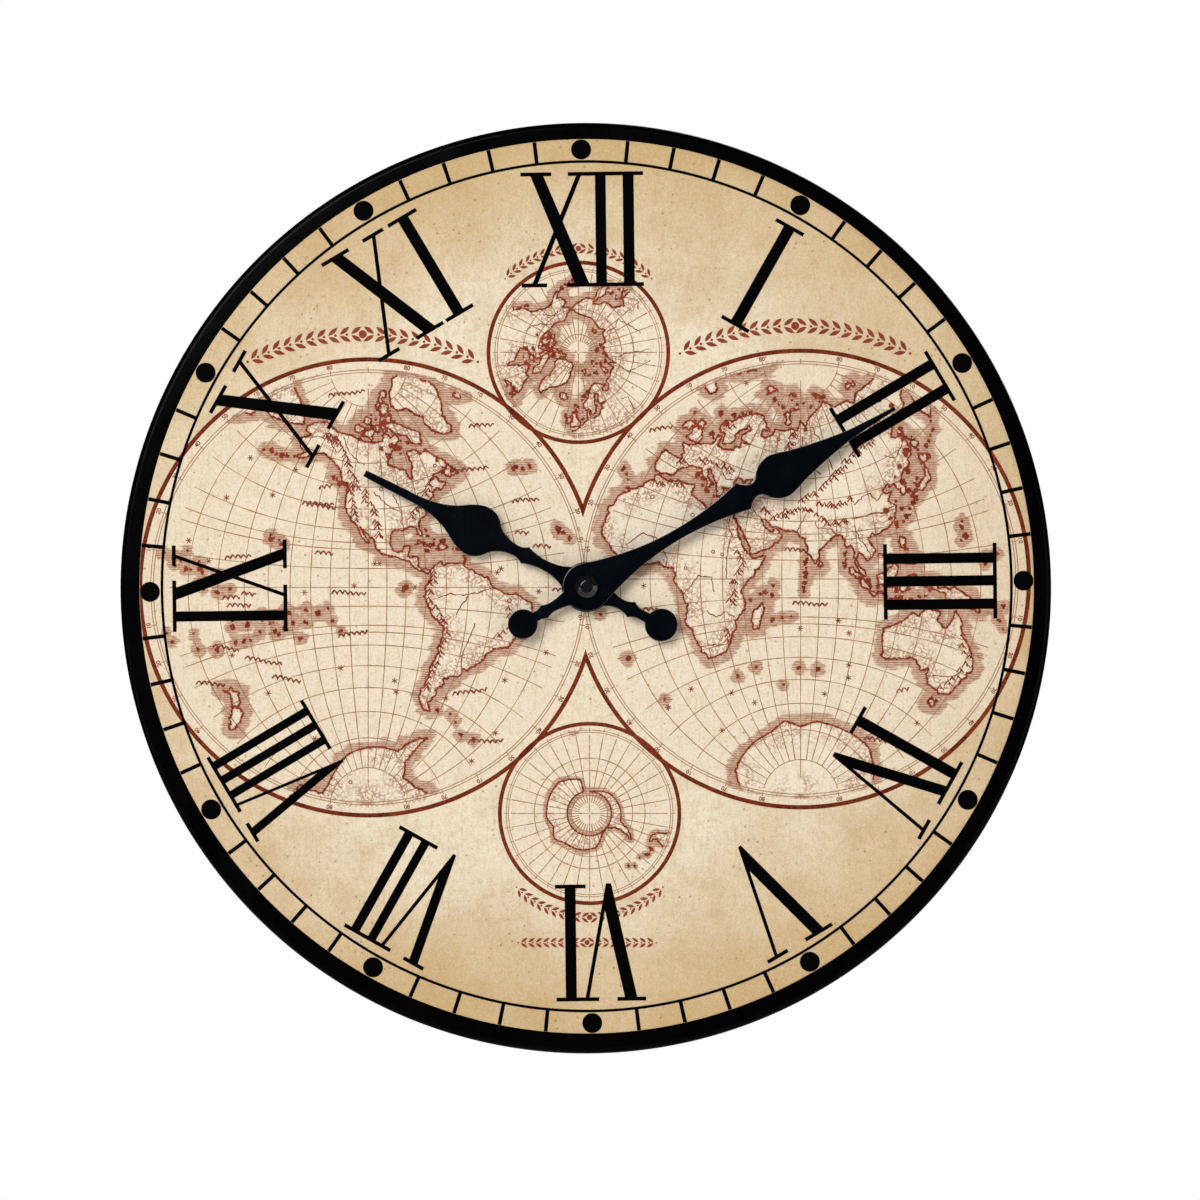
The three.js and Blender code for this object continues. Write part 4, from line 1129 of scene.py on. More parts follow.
# Corners of coasts as longitude,latitude in degrees
COASTS = (
    # North America
    "-168,66 -163,69 -156,71 -141,69.6 -128,70 -115,68.5 -108,68 -96,68 -94,72 -88,68.5 -82,69.5 -81,67 "
    "-87,65 -93,62 -94.5,58.8 -88,56.8 -82.3,55.2 -82,52.8 -79.5,51.3 -78.8,54.5 -77,57.5 -78,61.8 "
    "-72,61.7 -69.5,59.5 -65.5,59.5 -64,60.3 -61.5,57 -57,53.5 -56,51.5 -60,50.2 -66.5,50.2 -69.5,48.2 "
    "-65,49 -64.5,47 -61,45.5 -65.5,43.6 -67,44.8 -70.2,43.5 -70,41.7 -74,40.6 -75.5,38 -76,36 -78,34 "
    "-81,31.8 -81.3,29.5 -80.1,26 -81.2,25.3 -82.7,28 -84,30 -87,30.4 -89.5,29.3 -94.7,29.4 -97.3,27.3 "
    "-97.8,22.5 -96,19 -94.4,18.2 -91.5,18.6 -90.4,21 -87,21.4 -87.8,18.3 -88.8,15.9 -83.3,14.9 -83.7,11 "
    "-82,9 -79.7,9.5 -77.4,8.5 -78.2,7.5 -80,7.3 -83,8.3 -85.7,10 -87.6,13 -92.2,14.5 -95,16 -99.5,16.7 "
    "-103.5,18.3 -105.6,20.4 -106.3,23 -109.2,26 -112.2,29 -114.7,31.6 -112.8,28.4 -109.5,23.1 -112,25 "
    "-114.5,27.8 -117.2,32.6 -120.6,34.5 -122.4,37.5 -124.3,40.4 -124.2,44 -124.6,48.3 -122.8,49 -127.5,51 "
    "-130,54.5 -133,57.5 -139,59.6 -146,60.7 -151.5,59.3 -158,56 -164,54.7 -157.5,58.7 -162,58.7 "
    "-164.8,60.5 -166,62 -161,64.5 -166.5,64.6",
    # South America
    "-77.4,8.5 -75.5,10.6 -71.8,12.3 -71.5,10.8 -68,11 -62,10.7 -60,8.3 -57,6 -51.5,4.2 -50,0.5 -48,-0.8 "
    "-44.3,-2.5 -40,-2.9 -35.3,-5.3 -34.8,-8 -37.2,-11.5 -39,-15 -39.2,-18 -41,-22 -44.5,-23.2 -48.5,-26 "
    "-49,-28.6 -52,-32.5 -54.8,-34.8 -57.8,-34.4 -56.7,-36.5 -58,-38.2 -62.2,-39 -65,-41 -63.7,-42.6 "
    "-67.4,-46 -65.8,-47.8 -69.2,-51.5 -68.4,-52.4 -65.2,-54.7 -69.5,-55 -74.5,-52 -75.5,-47 -73,-42 "
    "-73.6,-37.5 -71.5,-32 -70.3,-24 -70.3,-18.3 -76.2,-14 -79.5,-7.5 -81.2,-4.5 -80,-2.5 -80.1,0.5 "
    "-77.5,3.5 -77.5,7",
    # Greenland
    "-73,78.2 -66,80.8 -60,82 -45,82.6 -32,83.5 -20,82 -19,76.5 -22,72 -32,68 -39.5,65.5 -43,60 -48,61 "
    "-51.5,64 -53.7,67.5 -51,69.5 -54.5,71.5 -58,75 -68,76",
    # Europe and Asia
    "-9.2,43 -1.5,43.5 -1.2,46 -4.7,48.4 -1.6,48.7 1.7,50.9 4.5,52.3 8,53.6 8.2,57 10.6,57.6 10.9,54.2 "
    "14.2,53.9 18.7,54.7 21.1,57 24.2,57.2 23.5,59.2 29.8,59.9 22.8,60 21.3,61.5 25.3,65 22,65.7 17.3,61 "
    "18.7,59.5 16.4,56.6 12.9,55.5 11,58.8 8,58.1 5.2,60 5.5,62 11,64.5 15,68 22,70.4 28,71 33,69.5 41,67 "
    "34,66.8 35,64.5 38,64 44,66.2 44,68.3 54,68.5 60.5,69.7 67,69 70,73 73,71.5 74,68.5 77,72 81,73.6 "
    "87,75 98,76.2 104.5,77.7 113,74 127,73.3 131,71 140,72.6 150,71.3 160,69.8 170,69.8 180,68.8 190,66 "
    "179,62.5 170,60 163.5,60 162.5,57.8 163,56 160,53 156.7,51 155.6,56 164,62.4 156.5,61.6 152,59 "
    "142.5,59.3 135.2,54.8 141,53 140.4,48.5 135.3,43.8 131.5,43 127.5,39.6 129.4,37 129,35.2 126.4,34.5 "
    "126.8,37.2 125,38 124.5,39.8 121.5,39 122,40.7 117.8,38.7 119,37.2 122.5,37.2 119.5,35 121.8,32 "
    "121.8,29 119.5,25.5 116.5,23 113,22 110,20.7 108.2,21.7 105.8,18.8 109,13 106.7,10.4 104.8,8.7 103,11 "
    "100.8,13.3 99.3,10 100.5,7 103.4,4 104,1.4 101.2,3 98.5,8 98.6,13 97.2,16.8 94.4,16 94,19 91.8,22.4 "
    "88.5,21.7 86.5,20 82,16.5 80.2,15 80,11.5 77.6,8.1 74.8,12.8 72.8,18.5 72.6,21.3 69.2,22.3 67,24.8 "
    "61.5,25.1 57,26.8 54,26.6 50.5,29.8 48,30 50,26.7 51.6,25.5 54.2,24.2 56.4,26.2 59.8,22.5 57.7,19 "
    "52,15.5 45,12.8 43.3,12.7 42.6,16.6 39.1,21.5 34.7,28 32.6,29.9 34.3,31.3 36,35.5 36,36.8 32,36.1 "
    "29,36.5 27.2,37.2 26.2,39.4 29,41.1 33.5,42 38.3,41 41.6,41.7 37.5,44.7 39.3,47.2 35,46.2 33.6,44.4 "
    "32.6,46 30.5,46.2 28.6,43.7 28.8,41.2 26.5,40.7 22.8,40.4 24,37.8 23.1,36.5 21.3,37.6 19.4,41.3 "
    "15.3,44.2 13.7,45.5 12.4,44.8 14,42.5 18.5,40.2 16.9,40.4 17,39 15.9,38 15.3,40 12.3,41.8 10.2,43.9 "
    "8.2,44.1 4.8,43.4 3.1,42 0.2,40 -0.6,37.7 -4.5,36.6 -6,36.2 -8.9,37.1 -9.4,38.8",
    # Africa
    "32.6,29.9 35.5,24 37.3,20 39.7,15.3 43.2,11.8 44.5,10.5 51.2,11.8 49,7.3 46,3 41.5,-1.8 39,-5.5 "
    "40.6,-10.8 40.5,-15 35,-19.8 35.4,-23.8 32.7,-26 31.3,-29.5 27.5,-33.3 22.5,-34 18.4,-34.2 18,-32 "
    "15.2,-27 14.4,-22.5 12,-17.5 13.6,-12 12.5,-6 9,-1 9.6,2.5 8.8,4.4 5.5,4.5 3,6.4 -2,4.8 -7.6,4.4 "
    "-11.5,7 -13.5,9.5 -16.6,12.3 -17.4,14.7 -16.2,19 -17,21 -14.5,26 -10,29.8 -6,35.7 -2,35.1 3,36.8 "
    "10,37.3 10.2,33.8 15.3,32.3 19.8,30.5 20.1,32.6 25,31.7 31,31.5",
    # Australia
    "113.7,-22.5 114.2,-27 115.7,-31.8 115.1,-34.3 118.2,-35 123.5,-33.9 129,-31.6 131.5,-31.5 135.5,-34.8 "
    "137.8,-32.7 138.4,-35.5 140.5,-38 144.5,-38.3 146.4,-39.1 150,-37.5 151.4,-33.4 153.5,-28.2 152,-24.5 "
    "149,-21 146,-18.8 145.4,-15 142.5,-10.7 141.6,-14.5 140,-17.6 136,-15.5 136.9,-12.2 132.6,-11.5 "
    "130.2,-13 129,-15 126,-14 122.3,-17.8 119,-20",
    # Islands of the northern seas
    "-5.6,50.1 1.2,51 1.6,52.7 -1.5,55 -2,57.6 -5.8,57.5 -4.8,55 -4.8,53",
    "-6.2,52.2 -10,51.7 -9.8,54.2 -7,55.3 -5.8,54.5",
    "-22.5,64 -18.5,63.4 -13.8,65 -16,66.5 -22.5,66.3 -24,65.3", "-59.3,47.8 -55.6,51.5 -53,47 -55.7,46.9",
    "-80,73.7 -72,71 -61.7,66.5 -65.5,62.3 -72,64.5 -73,67.5 -84,70 -89,73.5",
    "-117,70.5 -105,69.2 -104.5,72.5 -114,73.2", "-90,76.8 -80,76.4 -64,82.4 -80,83 -90,81",
    "11,79.5 16.5,76.8 21,78.5 26,80 16,80", "52,71.3 57,70.7 68.5,76.8 60,76 53,73",
    "-125,72 -119,71.2 -116.5,73.5 -121,74.4", "-117,75.3 -107,75 -106,76.3 -115,76.6",
    "-101.5,72 -97,71.5 -96.5,73.8 -100.5,74", "-95,72.2 -90.5,73 -91,74 -95,74",
    "-96,75 -81,74.6 -80,75.6 -92,76.4", "-96,78.5 -89,79 -92,81.2 -96,80.5",
    "-87,64 -81,63.5 -84,66 -87,65.5", "48,80.2 62,80.3 58,81.4 50,81", "95,79 104,78.5 102,79.8 96,81",
    "138,75 150,75 145,76 139,76",
    # Islands of the warm seas
    "-84.8,21.9 -82,23.1 -77,21.6 -74.3,20.2 -77.6,19.9 -81.5,22",
    "-74.3,18.6 -72.7,19.9 -68.4,18.6 -71.5,17.8",
    "49.3,-12 50.3,-15.8 47,-25 44,-25 43.5,-21.5 44.5,-16.5 47,-15", "80,9.6 81.8,7.3 80.4,6 79.8,7.8",
    "95.4,5.6 98.5,3.6 103.6,-1.5 105.9,-5.7 102.3,-4 98.7,1.5",
    "105.3,-6.6 108.5,-6.6 112.6,-7 114.4,-8.4 108.5,-7.7",
    "109,1.7 113.5,3.6 117,7 119,5 117.6,1 116,-3.8 110.2,-2.8",
    "119.8,0.5 124.8,1.5 121,0.5 123.3,-0.9 122.4,-5 120.4,-5.5 119.5,-3",
    "131,-0.8 134.2,-0.9 135.2,-3.3 141,-2.6 147.3,-6.7 150.7,-10.5 146.8,-9.2 143,-9 138.5,-8.3 137.8,-5 "
    "132.8,-4",
    "120.6,18.5 122.2,18.3 121.6,14.5 124,12.6 120.6,13.9 119.9,16.3",
    "122,7 124,8.5 126.3,8.5 126,6.3 124,6.5", "121.6,25.2 120.8,22 120.1,23.5",
    # Islands of the eastern seas
    "131,34.2 135.5,35.6 137,37 140,40 141.4,41.4 142,39.3 140.8,35.8 135.7,33.6",
    "130,33.5 131.9,33 130.7,31.2", "140.2,42 141.7,45.4 145.3,43.6 143.2,42",
    "142.5,54.3 144.6,49 143,46.1 142,48 142,52",
    "172.8,-34.5 178.4,-37.7 176.9,-40 175,-41.5 173.8,-39.3 174.8,-37",
    "172.7,-40.6 174.2,-41.8 170.7,-45.9 168.3,-46.6 166.6,-45.6 171,-42.5",
    "144.8,-40.8 148.2,-40.9 147.6,-43.2 146,-43.4",
)
SOUTHERN_COAST = (
    "-180,-78 -160,-77 -135,-74.5 -100,-73 -75,-72.5 -67,-67 -58,-63.3 -61,-67.5 -62,-74 -50,-78 -30,-76.5 "
    "-10,-71 15,-69.5 40,-69 55,-66.3 70,-69 85,-66.5 110,-66.3 135,-66 150,-68.5 165,-71 165,-77.5"
)
# Chains of small islands: their two ends, then how many there are and their spread in degrees
CHAINS = (
    "-178,-21 -140,-17 15,3.5", "-176,-14 -150,-10 9,3", "164,11 182,-3 12,3", "150,8 172,6 9,2.5",
    "152,-7 169,-18 10,1.5", "-161,22.5 -155,19 5,0.6", "-139,-9 -125,-25 6,3", "-62,18 -61,11 6,0.6",
    "-78,26 -72,21.5 5,0.8", "-30,39 -25,37 4,0.6", "-18,33 -14,28 5,0.8", "-25,17 -23,15 4,0.6",
    "73,11 72,-7 8,0.5", "55,-21 64,-19.5 3,0.5", "46,-9 56,-4.5 5,1.2", "93,14 94,6 5,0.5",
    "116,-8.6 131,-8 8,0.6", "126,2 131,-4 7,1", "-180,51.5 -166,54 7,0.6", "145,44 155,50 6,0.5",
    "124,24.5 130,30 5,0.4", "145,13 146,20 5,0.4", "-91,-0.8 -89.5,0.5 4,0.5", "36,-47 78,-47 5,4",
    "-61,-51.7 -36,-55 5,0.9", "-15,-8 -10,-38 3,2", "20,36 33,35 6,0.6", "8.8,42.4 14.5,37.3 5,0.8",
    "-134,54 -126,50 6,0.7", "-78,18.2 -66,18.2 3,0.3", "-122,70 -78,76 18,2.5", "-98,66 -74,62 10,2.5",
    "-62,52 -54,48 6,1.5", "128,38 150,56 14,3", "118,24 136,38 12,2.5", "100,-1 130,-4 12,2",
    "-2,60 16,70 8,1.5", "30,75 110,78 10,2", "-10,56 6,56 6,1.5",
)
# Corners of mountain ranges
RANGES = (
    "-150,66 -140,66 -128,60 -120,54 -115,49 -110,43 -106,38 -105,32 -103,25",
    "-122,50 -121.5,45 -119,38 -117,34.5", "-85,34 -80,38 -75,42 -71,45",
    "-75,6 -78,0 -77,-9 -71,-15 -68,-22 -70,-31 -71.5,-40 -73,-48", "-46,-20 -42,-15 -43,-9",
    "-1,42.6 2,42.5", "7,45.5 11,46.7 15,47", "20,49 25,46.5", "60,52 59,57 60,62 65,67", "43,43 47,41.5",
    "48,34 54,30 60,32 68,35 75,35 82,30 89,28 96,28.5", "72,41 80,43 88,48 98,51 110,55 122,57 135,62",
    "80,36.5 90,36 100,38", "-6,32 0,34 6,35.5", "37,12 39,8 37,1 35,-8 34,-13", "29,-29 31,-25",
    "147,-37 150,-32 151,-26 146,-20", "10,61 14,65 18,68",
)
# Corners of rivers
RIVERS = (
    "-89.5,29.5 -91,33 -89.5,37 -91.5,41 -94,46", "-89.5,37.5 -94,39 -100,43 -106,48",
    "-50.5,-0.3 -56,-2.3 -62,-3.5 -68,-3 -74,-5", "-60,-3.2 -63,-8 -65,-13",
    "-58,-34 -59,-29 -57.5,-22 -56,-15", "-135,69 -130,65.5 -122,62 -112,59",
    "-165,62.5 -156,65 -146,66 -136,62", "-69,48.5 -74,45.5 -79,44 -83,45 -88,47.5",
    "31,31 31,26 33,20 32,14 32,6 32,0", "12.5,-6 16,-3 19,1.5 25,0.5 26,-6", "6,4.8 6,8 1,15 -4,15.5 -9,11",
    "35.5,-18.5 31,-16 26,-17.5 22,-14", "16.5,-28.6 22,-29 27,-30", "29.5,45.3 24,44 19,46.5 13,48.5",
    "47.5,46 45,49 48,54 43,56.5", "72.5,67 69,61 76,57 84,51.5", "82,70.5 87,65 91,58 93,52",
    "126,72 124,66 129,62 118,59 108,55", "140.8,53 137,50.5 131,48 126,51",
    "121.5,31.5 116,30 110,30.5 104,29.5 99,30", "118.5,37.8 114,35 110.5,39 105,38 101,35.5",
    "89.5,22.5 87,25.3 80,27 78,30", "67.5,24 70,29 73.5,33.5", "48,30.2 44,33 40,37",
    "106.5,10 105,15 102,19 100,26", "139,-35.4 142,-34.2 147,-33 150,-30",
)


@dataclass(frozen=True)
class Disc:
    """One round map: its place, its rings and the part of the globe that it shows."""

    centre: Point
    ring: float
    ring_line: float
    map_radius: float
    longitude: float
    latitude: float
    seed: int
    shade: float = 1
    zoom: float = 1
    polar_share: ClassVar[float] = 0.85
    far_side: ClassVar[float] = 1e-4

    @property
    def polar(self) -> bool:
        """Whether a pole is at the middle."""
        return abs(self.latitude) == 90

    @property
    def share(self) -> float:
        """How large its line work is next to a half globe's."""
        return self.polar_share if self.polar else 1

    def project(self, places: Iterable[Point]) -> Array:
        """Stereographic view of places on the globe.

        Args:
            places: Longitude and latitude of each.

        Returns:
            Their points on the dial.
        """
        longitude, latitude = np.radians(np.array(list(places), float)).T
        turn = longitude - math.radians(self.longitude)
        tilt = math.radians(self.latitude)
        near = np.sin(latitude) * math.sin(tilt) + np.cos(latitude) * math.cos(tilt) * np.cos(turn)
        right = np.cos(latitude) * np.sin(turn)
        up = math.cos(tilt) * np.sin(latitude) - math.sin(tilt) * np.cos(latitude) * np.cos(turn)
        scale = self.map_radius * self.zoom / np.maximum(1 + near, self.far_side)
        return np.stack([self.centre[0] + scale * right, self.centre[1] + scale * up], axis=1)

    def reach(self, points: Array) -> Array:
        """Distance of points from the middle of the disc."""
        return np.hypot(*(points - self.centre).T)


def places(text: str) -> list[Point]:
    """Longitude and latitude of each place in a text of pairs."""
    return [tuple(float(part) for part in pair.split(",")) for pair in text.split()]


def stepped(path: Sequence[Point], step: float, closed: bool = False) -> list[Point]:
    """Places along straight stretches on a chart.

    Args:
        path: Ends of the stretches.
        step: Most degrees between two places.
        closed: Whether the last end joins the first.

    Returns:
        The ends and the places between them.
    """
    ends = [*path, path[0]] if closed else list(path)
    found = []
    for (x0, y0), (x1, y1) in zip(ends, ends[1:]):
        count = max(1, math.ceil(max(abs(x1 - x0), abs(y1 - y0)) / step))
        found += [(x0 + (x1 - x0) * i / count, y0 + (y1 - y0) * i / count) for i in range(count)]
    return found if closed else [*found, ends[-1]]


def stretches(path: Array, kept: Array, closed: bool) -> list[tuple[Array, bool]]:
    """The stretches of a line whose points are kept.

    Args:
        path: The line's points.
        kept: Whether each point is kept.
        closed: Whether the last point joins the first.

    Returns:
        Each stretch, with whether it is a whole loop.
    """
    if kept.all():
        return [(path, closed)]
    if closed:
        first = int(np.argmin(kept))
        path, kept = np.roll(path, -first, axis=0), np.roll(kept, -first)
    breaks = np.flatnonzero(np.diff(kept.astype(int))) + 1
    runs = zip(np.split(path, breaks), np.split(kept, breaks))
    return [(run, False) for run, whole in runs if whole[0] and len(run) > 1]


class Shoreline:
    """The coasts of one disc, ragged as an engraver cuts them."""

    MARGIN = 4.0
    CHART_STEP = 3.0
    LINE_STEP = 0.75
    ROUNDS = 7
    RAGGED = 0.13
    MOST_RAGGED = 0.35
    SMALL_RAGGED = 0.24
    SMALL_CORNERS = 6
    ISLET_RADIUS = 0.8
    ISLET_SIZES = (0.6, 1.5)
    ISLET_WOBBLE = (0.55, 1.4)
    ISLET_SIDES = 9
    ISLET_WEIGHT = 1.7
    SOUTHERN_SPAN = 130

    def __init__(self, disc: Disc) -> None:
        """Projects every coast and gives it its ragged line.

        Args:
            disc: The disc.
        """
        self.disc = disc
        self.random = np.random.default_rng(disc.seed)
        self.loops = [self.coast(places(corners)) for corners in COASTS]
        if disc.latitude <= 0:
            self.loops.append(self.coast(self.southern_coast()))
        self.islets = self.islet_outlines()
        self.nearest = [(self.tree(self.loops), 1.0), (self.tree(self.islets), self.ISLET_WEIGHT)]

    def tree(self, loops: list[Array]) -> KDTree:
        """Search tree of the points in and near the disc.

        Args:
            loops: Closed lines that hold the points.

        Returns:
            The tree.
        """
        points = np.concatenate(loops)
        points = points[self.disc.reach(points) < self.disc.map_radius + self.MARGIN]
        tree = KDTree(len(points))
        for index, (x, y) in enumerate(points):
            tree.insert((x, y, 0), index)
        tree.balance()
        return tree

    def coast(self, corners: Sequence[Point]) -> Array:
        """The ragged line of a coast, more so round a small island.

        Args:
            corners: Longitude and latitude of its corners.

        Returns:
            Its points on the dial.
        """
        small = len(corners) <= self.SMALL_CORNERS
        line = self.disc.project(stepped(corners, FULL_TURN if small else self.CHART_STEP, closed=True))
        return self.ragged(line, self.SMALL_RAGGED if small else self.RAGGED)

    def islet_outlines(self) -> list[Array]:
        """Small rough islands along the chains, where the disc shows them.

        Returns:
            The contour of each.
        """
        found = []
        for chain in CHAINS:
            start, end, (count, spread) = np.array(places(chain))
            shares = np.linspace(0, 1, int(count))[:, None]
            spots = start * (1 - shares) + end * shares
            spots = spots + self.random.normal(0, spread, spots.shape)
            for spot in self.disc.project(spots):
                radius = self.ISLET_RADIUS * self.disc.share * self.random.uniform(*self.ISLET_SIZES)
                if self.disc.reach(spot[None])[0] < self.disc.map_radius - 2 * radius:
                    wobble = self.random.uniform(*self.ISLET_WOBBLE, (self.ISLET_SIDES, 1))
                    found.append(circle(radius, self.ISLET_SIDES) * wobble + spot)
        return found

    def southern_coast(self) -> list[Point]:
        """The coast round the south pole, closed through the pole where the disc shows its edge.

        Returns:
            Longitude and latitude of its corners.
        """
        coast = places(SOUTHERN_COAST)
        if self.disc.polar:
            return coast
        low, high = self.disc.longitude - self.SOUTHERN_SPAN, self.disc.longitude + self.SOUTHERN_SPAN
        laps = [(x + lap, y) for lap in (-FULL_TURN, 0, FULL_TURN) for x, y in coast]
        return [p for p in laps if low <= p[0] <= high] + [(high, -90), (low, -90)]

    def ragged(self, path: Array, spread: float) -> Array:
        """A closed line whose midpoints are pushed aside until its steps are short.

        Args:
            path: The line's points.
            spread: How far they are pushed, as a share of the step.

        Returns:
            Its points with the ragged ones between them.
        """
        for _ in range(self.ROUNDS):
            ahead = np.roll(path, -1, axis=0)
            span = ahead - path
            length = np.linalg.norm(span, axis=1)
            between = (path + ahead) / 2
            near = self.disc.reach(between) < self.disc.map_radius + self.MARGIN
            wanted = near & (length > self.LINE_STEP) & (length < self.disc.map_radius)
            push = self.random.normal(0, spread, (len(path), 1)).clip(-self.MOST_RAGGED, self.MOST_RAGGED)
            woven = np.stack([path, between + leftward(span) * push], axis=1).reshape(-1, 2)
            path = woven[np.stack([np.ones_like(wanted), wanted], axis=1).reshape(-1)]
        return path

    def land(self, points: Array) -> Array:
        """Finds out which points lie on land.

        Args:
            points: Points on the dial.

        Returns:
            Whether each does.
        """
        x, y = points.T
        inside = np.zeros(len(points), bool)
        for loop in self.loops + self.islets:
            for (x0, y0), (x1, y1) in zip(loop, np.roll(loop, -1, axis=0)):
                if y0 != y1:
                    inside ^= ((y0 > y) != (y1 > y)) & (x < x0 + (y - y0) / (y1 - y0) * (x1 - x0))
        return inside

    def distance(self, points: Array) -> Array:
        """Distance of points to the nearest coast, longer to an islet and negative on land."""
        away = np.min([[t.find((x, y, 0))[2] * w for x, y in points] for t, w in self.nearest], axis=0)
        return np.where(self.land(points), -away, away)


@dataclass
class WorldMap:
    """Two half globes and two pole views, printed in red-brown line work."""

    offset: Point = field(default_factory=lambda: middle("dial_board"))
    seed: int = 21
    film: float = 0.02
    layer_step: float = 0.004
    hub_clear: float = 7.9
    mark_clear: float = 2
    edge_clear: float = 0.15
    grid_step: int = 10
    grid_line: float = 0.3
    polar_circles: tuple[float, ...] = (80, 66.5, 60)
    polar_lines: Triple = (45, 84, 89.5)
    tropics: Point = (-23.5, 23.5)
    coast_line: float = 0.68
    river_line: float = 0.36
    river_step: float = 1.5
    river_bends: float = 0.2
    border_gap: float = 0.95
    border_line: float = 0.3
    circle_sides: int = 240
    band_steps: int = 300
    band_trims: Point = (0.1, 0.2)
    number_size: float = 2.2
    number_weight: float = 0.05
    hill_size: Point = (1.2, 2.1)
    hill_line: float = 0.4
    hill_step: float = 2.4
    hill_spread: float = 0.5
    hill_clear: float = 2.5
    flank_line: float = 0.45
    spot_clear: float = 4
    town_count: int = 90
    town_reach: Point = (-40, -1.6)
    town_radius: Point = (0.4, 0.75)
    town_line: float = 0.34
    town_sides: int = 9
    star_count: int = 75
    star_reach: Point = (3.5, OPEN_SEA)
    wave_rows: int = 48
    wave_reach: Point = (3.8, OPEN_SEA)
    wave_length: Point = (5, 14)
    wave_step: float = 0.33
    wave_crest: Point = (1.15, 1.6)
    wave_swell: Point = (0.25, 0.5)
    wave_lean: float = 12
    wave_line: float = 0.6
    garland_radius: float = 92.4
    small_garland_radius: float = 37.9
    leaf_lean: float = 34
    leaf_spacing: float = 0.84
    first_leaf: float = 0.9
    knot_radius: float = 0.3
    berry_radius: float = 0.1
    berry_drop: float = 0.26
    peak: ClassVar[Array] = np.array([(-0.75, 0), (-0.3, 0.6), (0, 1), (0.25, 0.55), (0.8, -0.1)])
    flank: ClassVar[Array] = np.array([(0.12, 0.6), (0.25, 0.1)])
    star_arm: ClassVar[Array] = np.array([(-1.1, -0.17), (1.1, -0.17), (1.1, 0.17), (-1.1, 0.17)])
    half_leaf: ClassVar[Array] = np.array([(0.08, 0), (0.3, 0.12), (0.55, 0.165), (0.8, 0.1), (1, 0)])

    def __post_init__(self) -> None:
        """Places the four discs and cuts their coasts."""
        x, y = self.offset
        globe = {"ring_line": 1.55, "latitude": 0}
        polar = {"ring_line": 1.4, "map_radius": 29.6, "zoom": 2.55}
        self.west = Disc((x - 79.4, y + 0.3), 83.2, map_radius=78.4, longitude=-110, seed=11, **globe)
        self.east = Disc((x + 78.4, y + 3.35), 83.3, map_radius=78.5, longitude=70, seed=12, **globe)
        north, south = (x - 2.7, y + 86.05), (x + 1.4, y - 82.2)
        self.north = Disc(north, 32.8, longitude=0, latitude=90, seed=13, shade=0.75, **polar)
        self.south = Disc(south, 32.75, longitude=180, latitude=-90, seed=14, shade=0.45, **polar)
        self.discs = (self.west, self.east, self.north, self.south)
        self.shores = [Shoreline(disc) for disc in self.discs]
        self.back = depths("dial_print")[1]
        self.random = np.random.default_rng(self.seed)

    def front(self, layer: Layer) -> float:
        """Depth of the front of a printed layer."""
        return self.back + self.film + layer * self.layer_step

    def coast_distance(self, points: Array) -> Array:
        """Distance of points on the dial to the nearest coast, large outside the maps.

        Args:
            points: Points on the dial.

        Returns:
            The distance of each, negative on land.
        """
        away = np.full(len(points), OPEN_SEA)
        for shore in self.shores:
            near = shore.disc.reach(points) < shore.disc.map_radius + self.mark_clear
            away[near] = shore.distance(points[near]) / shore.disc.shade
        return away

    def build(self) -> None:
        """Makes every printed layer of the maps."""
        self.grid()
        self.coasts()
        self.marks()
        self.borders()
        self.rings()
        self.numbers()
        self.garlands()

    def printed(self, shapes: list[Array], name: str, ink: Ink, layer: Layer) -> None:
        """Prints flat shapes as one film and fixes it to the clock.

        Args:
            shapes: Contours of the shapes.
            name: Name of the piece.
            ink: Its ink.
            layer: The layer that it lies in.
        """
        solid = Solid()
        solid.film(shapes, self.back, self.front(layer))
        fit(solid.make(name), Body.CLOCK, "dial_paper", ink)

    def line(
        self, disc: Disc, path: Array, width: float, closed: bool = False, uneven: float = 0
    ) -> list[Array]:
        """Strokes of a line where it lies inside its map and off the hub.

        Args:
            disc: Its map.
            path: Its points.
            width: Its width.
            closed: Whether its last point joins the first.
            uneven: Share by which its width wanders.

        Returns:
            Contours of the strokes.
        """
        kept = (disc.reach(path) < disc.map_radius - self.edge_clear) & (np.hypot(*path.T) > self.hub_clear)
        found = []
        for run, whole in stretches(path, kept, closed):
            wander = 1 + uneven * self.random.uniform(-1, 1, (len(run), 1))
            found += strokes(run, width * wander, whole)
        return found

    def grid(self) -> None:
        """Meridians and parallels."""
        shapes = []
        for disc in self.discs:
            for path in self.grid_lines(disc):
                shapes += self.line(disc, path, self.grid_line, uneven=0.35)
        self.printed(shapes, "map_grid", GRID_INK, Layer.GRID)

    def grid_lines(self, disc: Disc) -> list[Array]:
        """Lines of one disc's grid.

        Args:
            disc: The disc.

        Returns:
            The points of each line.
        """
        step = self.grid_step
        lines = []
        if disc.polar:
            side = math.copysign(1, disc.latitude)
            start, end, main_end = self.polar_lines
            for turn in range(0, FULL_TURN, step):
                most = main_end if turn % 90 == 0 else end
                lines.append([(turn, side * lat) for lat in np.linspace(start, most, 40)])
            for lat in self.polar_circles:
                lines.append([(turn, side * lat) for turn in range(0, FULL_TURN + 1, 5)])
        else:
            for turn in range(-80, 81, step):
                most = 90 if turn == 0 else 80
                lines.append([(disc.longitude + turn, lat) for lat in np.linspace(-most, most, 41)])
            for lat in (*self.tropics, *range(-80, 81, step)):
                lines.append([(disc.longitude + turn, lat) for turn in np.linspace(-90, 90, 41)])
        return [disc.project(path) for path in lines]

